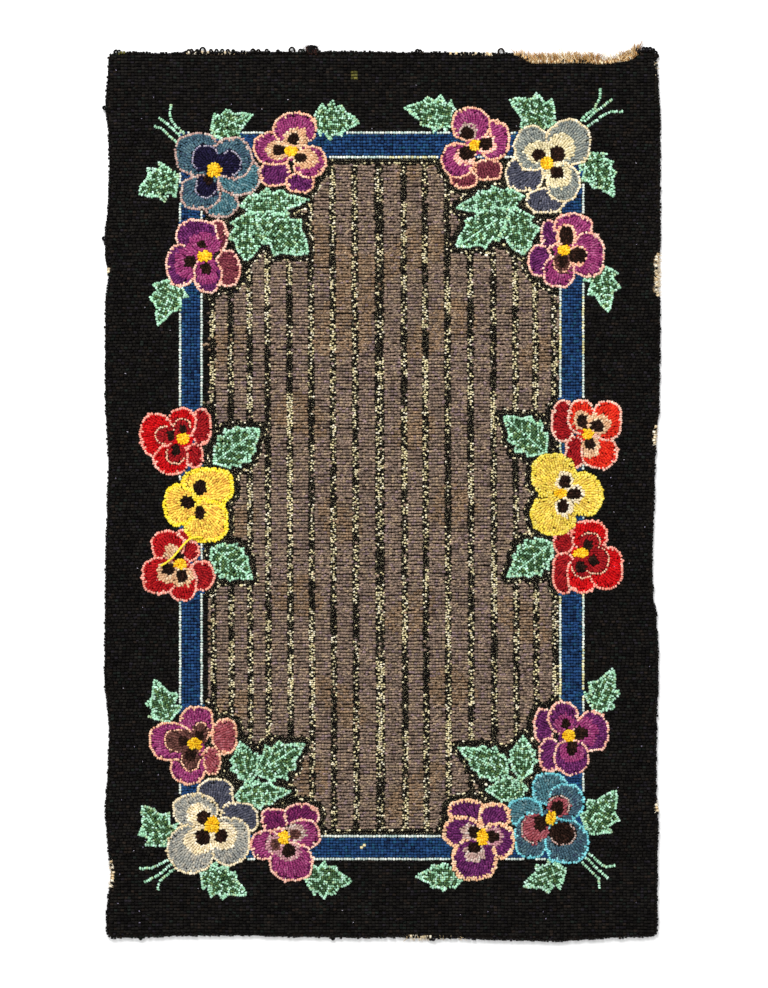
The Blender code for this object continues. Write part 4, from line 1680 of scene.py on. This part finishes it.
def make_lint(material):
    """Short pale fibres lying on the pile."""
    bm = new_yarn_mesh()
    for _ in range(LINT_COUNT):
        side = CHANCE.choice((-1, 1))
        if CHANCE.random() < 0.6:
            place = np.array([side * CHANCE.uniform(250, 326), CHANCE.uniform(-520, 520)])
        else:
            place = np.array([CHANCE.uniform(-320, 320), side * CHANCE.uniform(440, 520)])
        turn = CHANCE.uniform(0, 2 * math.pi)
        path = []
        for step in range(3):
            path.append(Vector((place[0] * MM, place[1] * MM, 0.0070 + 0.0001 * step)))
            turn += CHANCE.normal(0, 0.6)
            place = place + np.array([math.cos(turn), math.sin(turn)]) * CHANCE.uniform(0.4, 1.0)
        thick = LINT_RADIUS * CHANCE.uniform(0.7, 1.4)
        add_tube(bm, path, [thick, thick, thick * 0.6], 4, one_dye("lilac", 1.0, 1.6))
    return link_piece("lint_specks", bm, material)


THREAD_FINISH = finish_wool("frayed thread", WOOL_GROUP, THREAD_LOOK)
EDGE_PIECES = [
    make_frays(THREAD_FINISH),
    make_pulled_loops(finish_wool("pulled black yarn", WOOL_GROUP, BLACK_YARN_LOOK)),
    make_lint(THREAD_FINISH),
]


# The burlap ground, its threads' distance and their wander in metres
THREAD_PITCH = 0.0024
THREAD_WANDER = 0.0022


def make_burlap_material():
    """A plain weave with uneven threads, near black where the wool covers it: wool fluff and dust there,
    with painted shade under the pile.
    """
    material, nodes, links = new_material("burlap weave")
    shader = nodes["Principled BSDF"]
    place = read_place(nodes)
    split = nodes.new("ShaderNodeSeparateXYZ")
    links.new(place, split.inputs[0])
    wander = noise(nodes, links, place, 90, 2, 0.5)
    threads = []
    for axis in (0, 1):
        moved = math_node(nodes, links, "MULTIPLY_ADD", wander, THREAD_WANDER, split.outputs[axis])
        turn = math_node(nodes, links, "MULTIPLY", moved, 2 * math.pi / THREAD_PITCH)
        threads.append(math_node(nodes, links, "SINE", turn))
    weave = math_node(nodes, links, "MULTIPLY", threads[0], threads[1])
    thread = remap(nodes, links, weave, -1, 1, 0, 1)
    fibre = noise(nodes, links, place, 1500, 3, 0.7)
    bare = read_attribute(nodes, "bare", "Fac")
    stain = noise(nodes, links, place, 45, 3, 0.6)
    tan = mix_colour(nodes, links, "MIX", remap(nodes, links, stain, 0.35, 0.65, 0, 1),
                     rgb("c39a69"), rgb("dcbc8c"))
    tan = mix_colour(nodes, links, "MIX", remap(nodes, links, thread, 0, 1, 0.45, 0), tan, rgb("6b4a28"))
    worn = mix_colour(nodes, links, "MIX", remap(nodes, links, fibre, 0.3, 0.7, 0, 0.3), tan, rgb("e6cfa2"))
    # Under the pile the ground is painted near black: partly wool fluff and dust, partly painted shade
    # beneath the loops
    colour = mix_colour(nodes, links, "MIX", bare, rgb("1c1611"), worn)
    links.new(colour, shader.inputs["Base Color"])
    links.new(remap(nodes, links, fibre, 0.3, 0.7, 0.8, 1.0), shader.inputs["Roughness"])
    relief = nodes.new("ShaderNodeBump")
    relief.inputs["Strength"].default_value = 0.7
    relief.inputs["Distance"].default_value = RELIEF_DEPTH
    links.new(math_node(nodes, links, "MULTIPLY_ADD", fibre, 0.4, thread), relief.inputs["Height"])
    links.new(relief.outputs["Normal"], shader.inputs["Normal"])
    shader.inputs["Specular IOR Level"].default_value = 0.2
    return material


# In millimetres: the rim that can be bare, and where past the pile it starts to be and how fast
BURLAP_MARGIN = 12.0
BARE_START = 3.2
BARE_EASE = 1.5
BARE_WIDTH = 2.2           # what is left of the ground's bare edge between its frayed threads


def make_burlap(material):
    """The woven ground: one thin closed sheet with the rug's outline, bare only past the pile."""
    outline, _ = offset_rim(rug_ring(-0.001, 0.00005), -0.3, 4.0)
    inner, _ = offset_rim(outline, -BURLAP_MARGIN, 4.0)
    inner = inner[[int(np.argmin(np.hypot(*(inner - point).T))) for point in outline]]
    past = polygon_gap(PILE_EDGE, *outline.T)
    bare = np.clip((past - BARE_START) / BARE_EASE, 0, 1)
    ragged = bare * np.maximum(past - BARE_WIDTH, 0) * CHANCE.uniform(0.75, 1.1, len(outline))
    outline = outline + (inner - outline) / BURLAP_MARGIN * ragged[:, None]
    bm = bmesh.new()
    # The bare layer is 0 where the pile covers the ground, which the material paints dark with painted
    # shade and wool fluff
    layer = bm.verts.layers.float.new("bare")
    loops = []
    for points, height, bareness in (
        (inner, 0.0, np.full(len(outline), 1.0)), (outline, 0.0, bare),
        (outline, BURLAP_TOP, bare), (inner, BURLAP_TOP, np.zeros(len(outline))),
    ):
        ring = []
        for (x, y), amount in zip(points, bareness):
            vert = bm.verts.new((x * MM, y * MM, height))
            vert[layer] = float(amount)
            ring.append(vert)
        loops.append(ring)
    for near, far in zip(loops, loops[1:]):
        for k in range(len(outline)):
            n = (k + 1) % len(outline)
            corners = [near[k], near[n], far[n], far[k]]
            bm.faces.new(corners)
    bm.faces.new(loops[0][::-1])
    bm.faces.new(loops[-1])
    bmesh.ops.remove_doubles(bm, verts=bm.verts, dist=1e-6)
    bmesh.ops.triangulate(bm, faces=[f for f in bm.faces if len(f.verts) > 4])
    return link_piece("burlap_ground", bm, material, smooth=False)


BURLAP_FINISH = make_burlap_material()
BURLAP = make_burlap(BURLAP_FINISH)
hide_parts("hooked_rug")


# Floor, light and surroundings, in metres and watts
FLOOR_SIZE = 40
FLOOR_HEIGHT = -0.0002
KEY_PLACE = (-0.9, 2.6, 3.2)
KEY_SIZE = 1.6
KEY_POWER = 190


def make_floor():
    deselect_all()
    bpy.ops.mesh.primitive_plane_add(size=FLOOR_SIZE, location=(0, 0, FLOOR_HEIGHT))
    bpy.ops.object.transform_apply(location=True)
    floor = bpy.context.object
    floor.name = "floor"
    material, nodes, links = new_material("pale floor")
    shader = nodes["Principled BSDF"]
    tone = noise(nodes, links, read_place(nodes), 3, 2, 0.5)
    links.new(mix_colour(nodes, links, "MIX", tone, (0.76, 0.76, 0.76), (0.79, 0.79, 0.79)),
              shader.inputs["Base Color"])
    shader.inputs["Roughness"].default_value = 0.9
    shader.inputs["Specular IOR Level"].default_value = 0.1
    floor.data.materials.append(material)


def make_light(name, place, size, power):
    data = bpy.data.lights.new(name, "AREA")
    data.shape = "SQUARE"
    data.size = size
    data.energy = power
    light = bpy.data.objects.new(name, data)
    light.location = place
    light.rotation_euler = (-Vector(place)).to_track_quat("-Z", "Y").to_euler()
    light.visible_camera = False
    bpy.context.collection.objects.link(light)


def make_world():
    world = bpy.data.worlds.new("studio")
    world.use_nodes = True
    backdrop = world.node_tree.nodes["Background"]
    backdrop.inputs["Color"].default_value = (1, 1, 1, 1)
    backdrop.inputs["Strength"].default_value = 1.0
    bpy.context.scene.world = world
    bpy.context.scene.view_settings.view_transform = "Standard"


make_floor()
make_light("key light", KEY_PLACE, KEY_SIZE, KEY_POWER)
make_world()
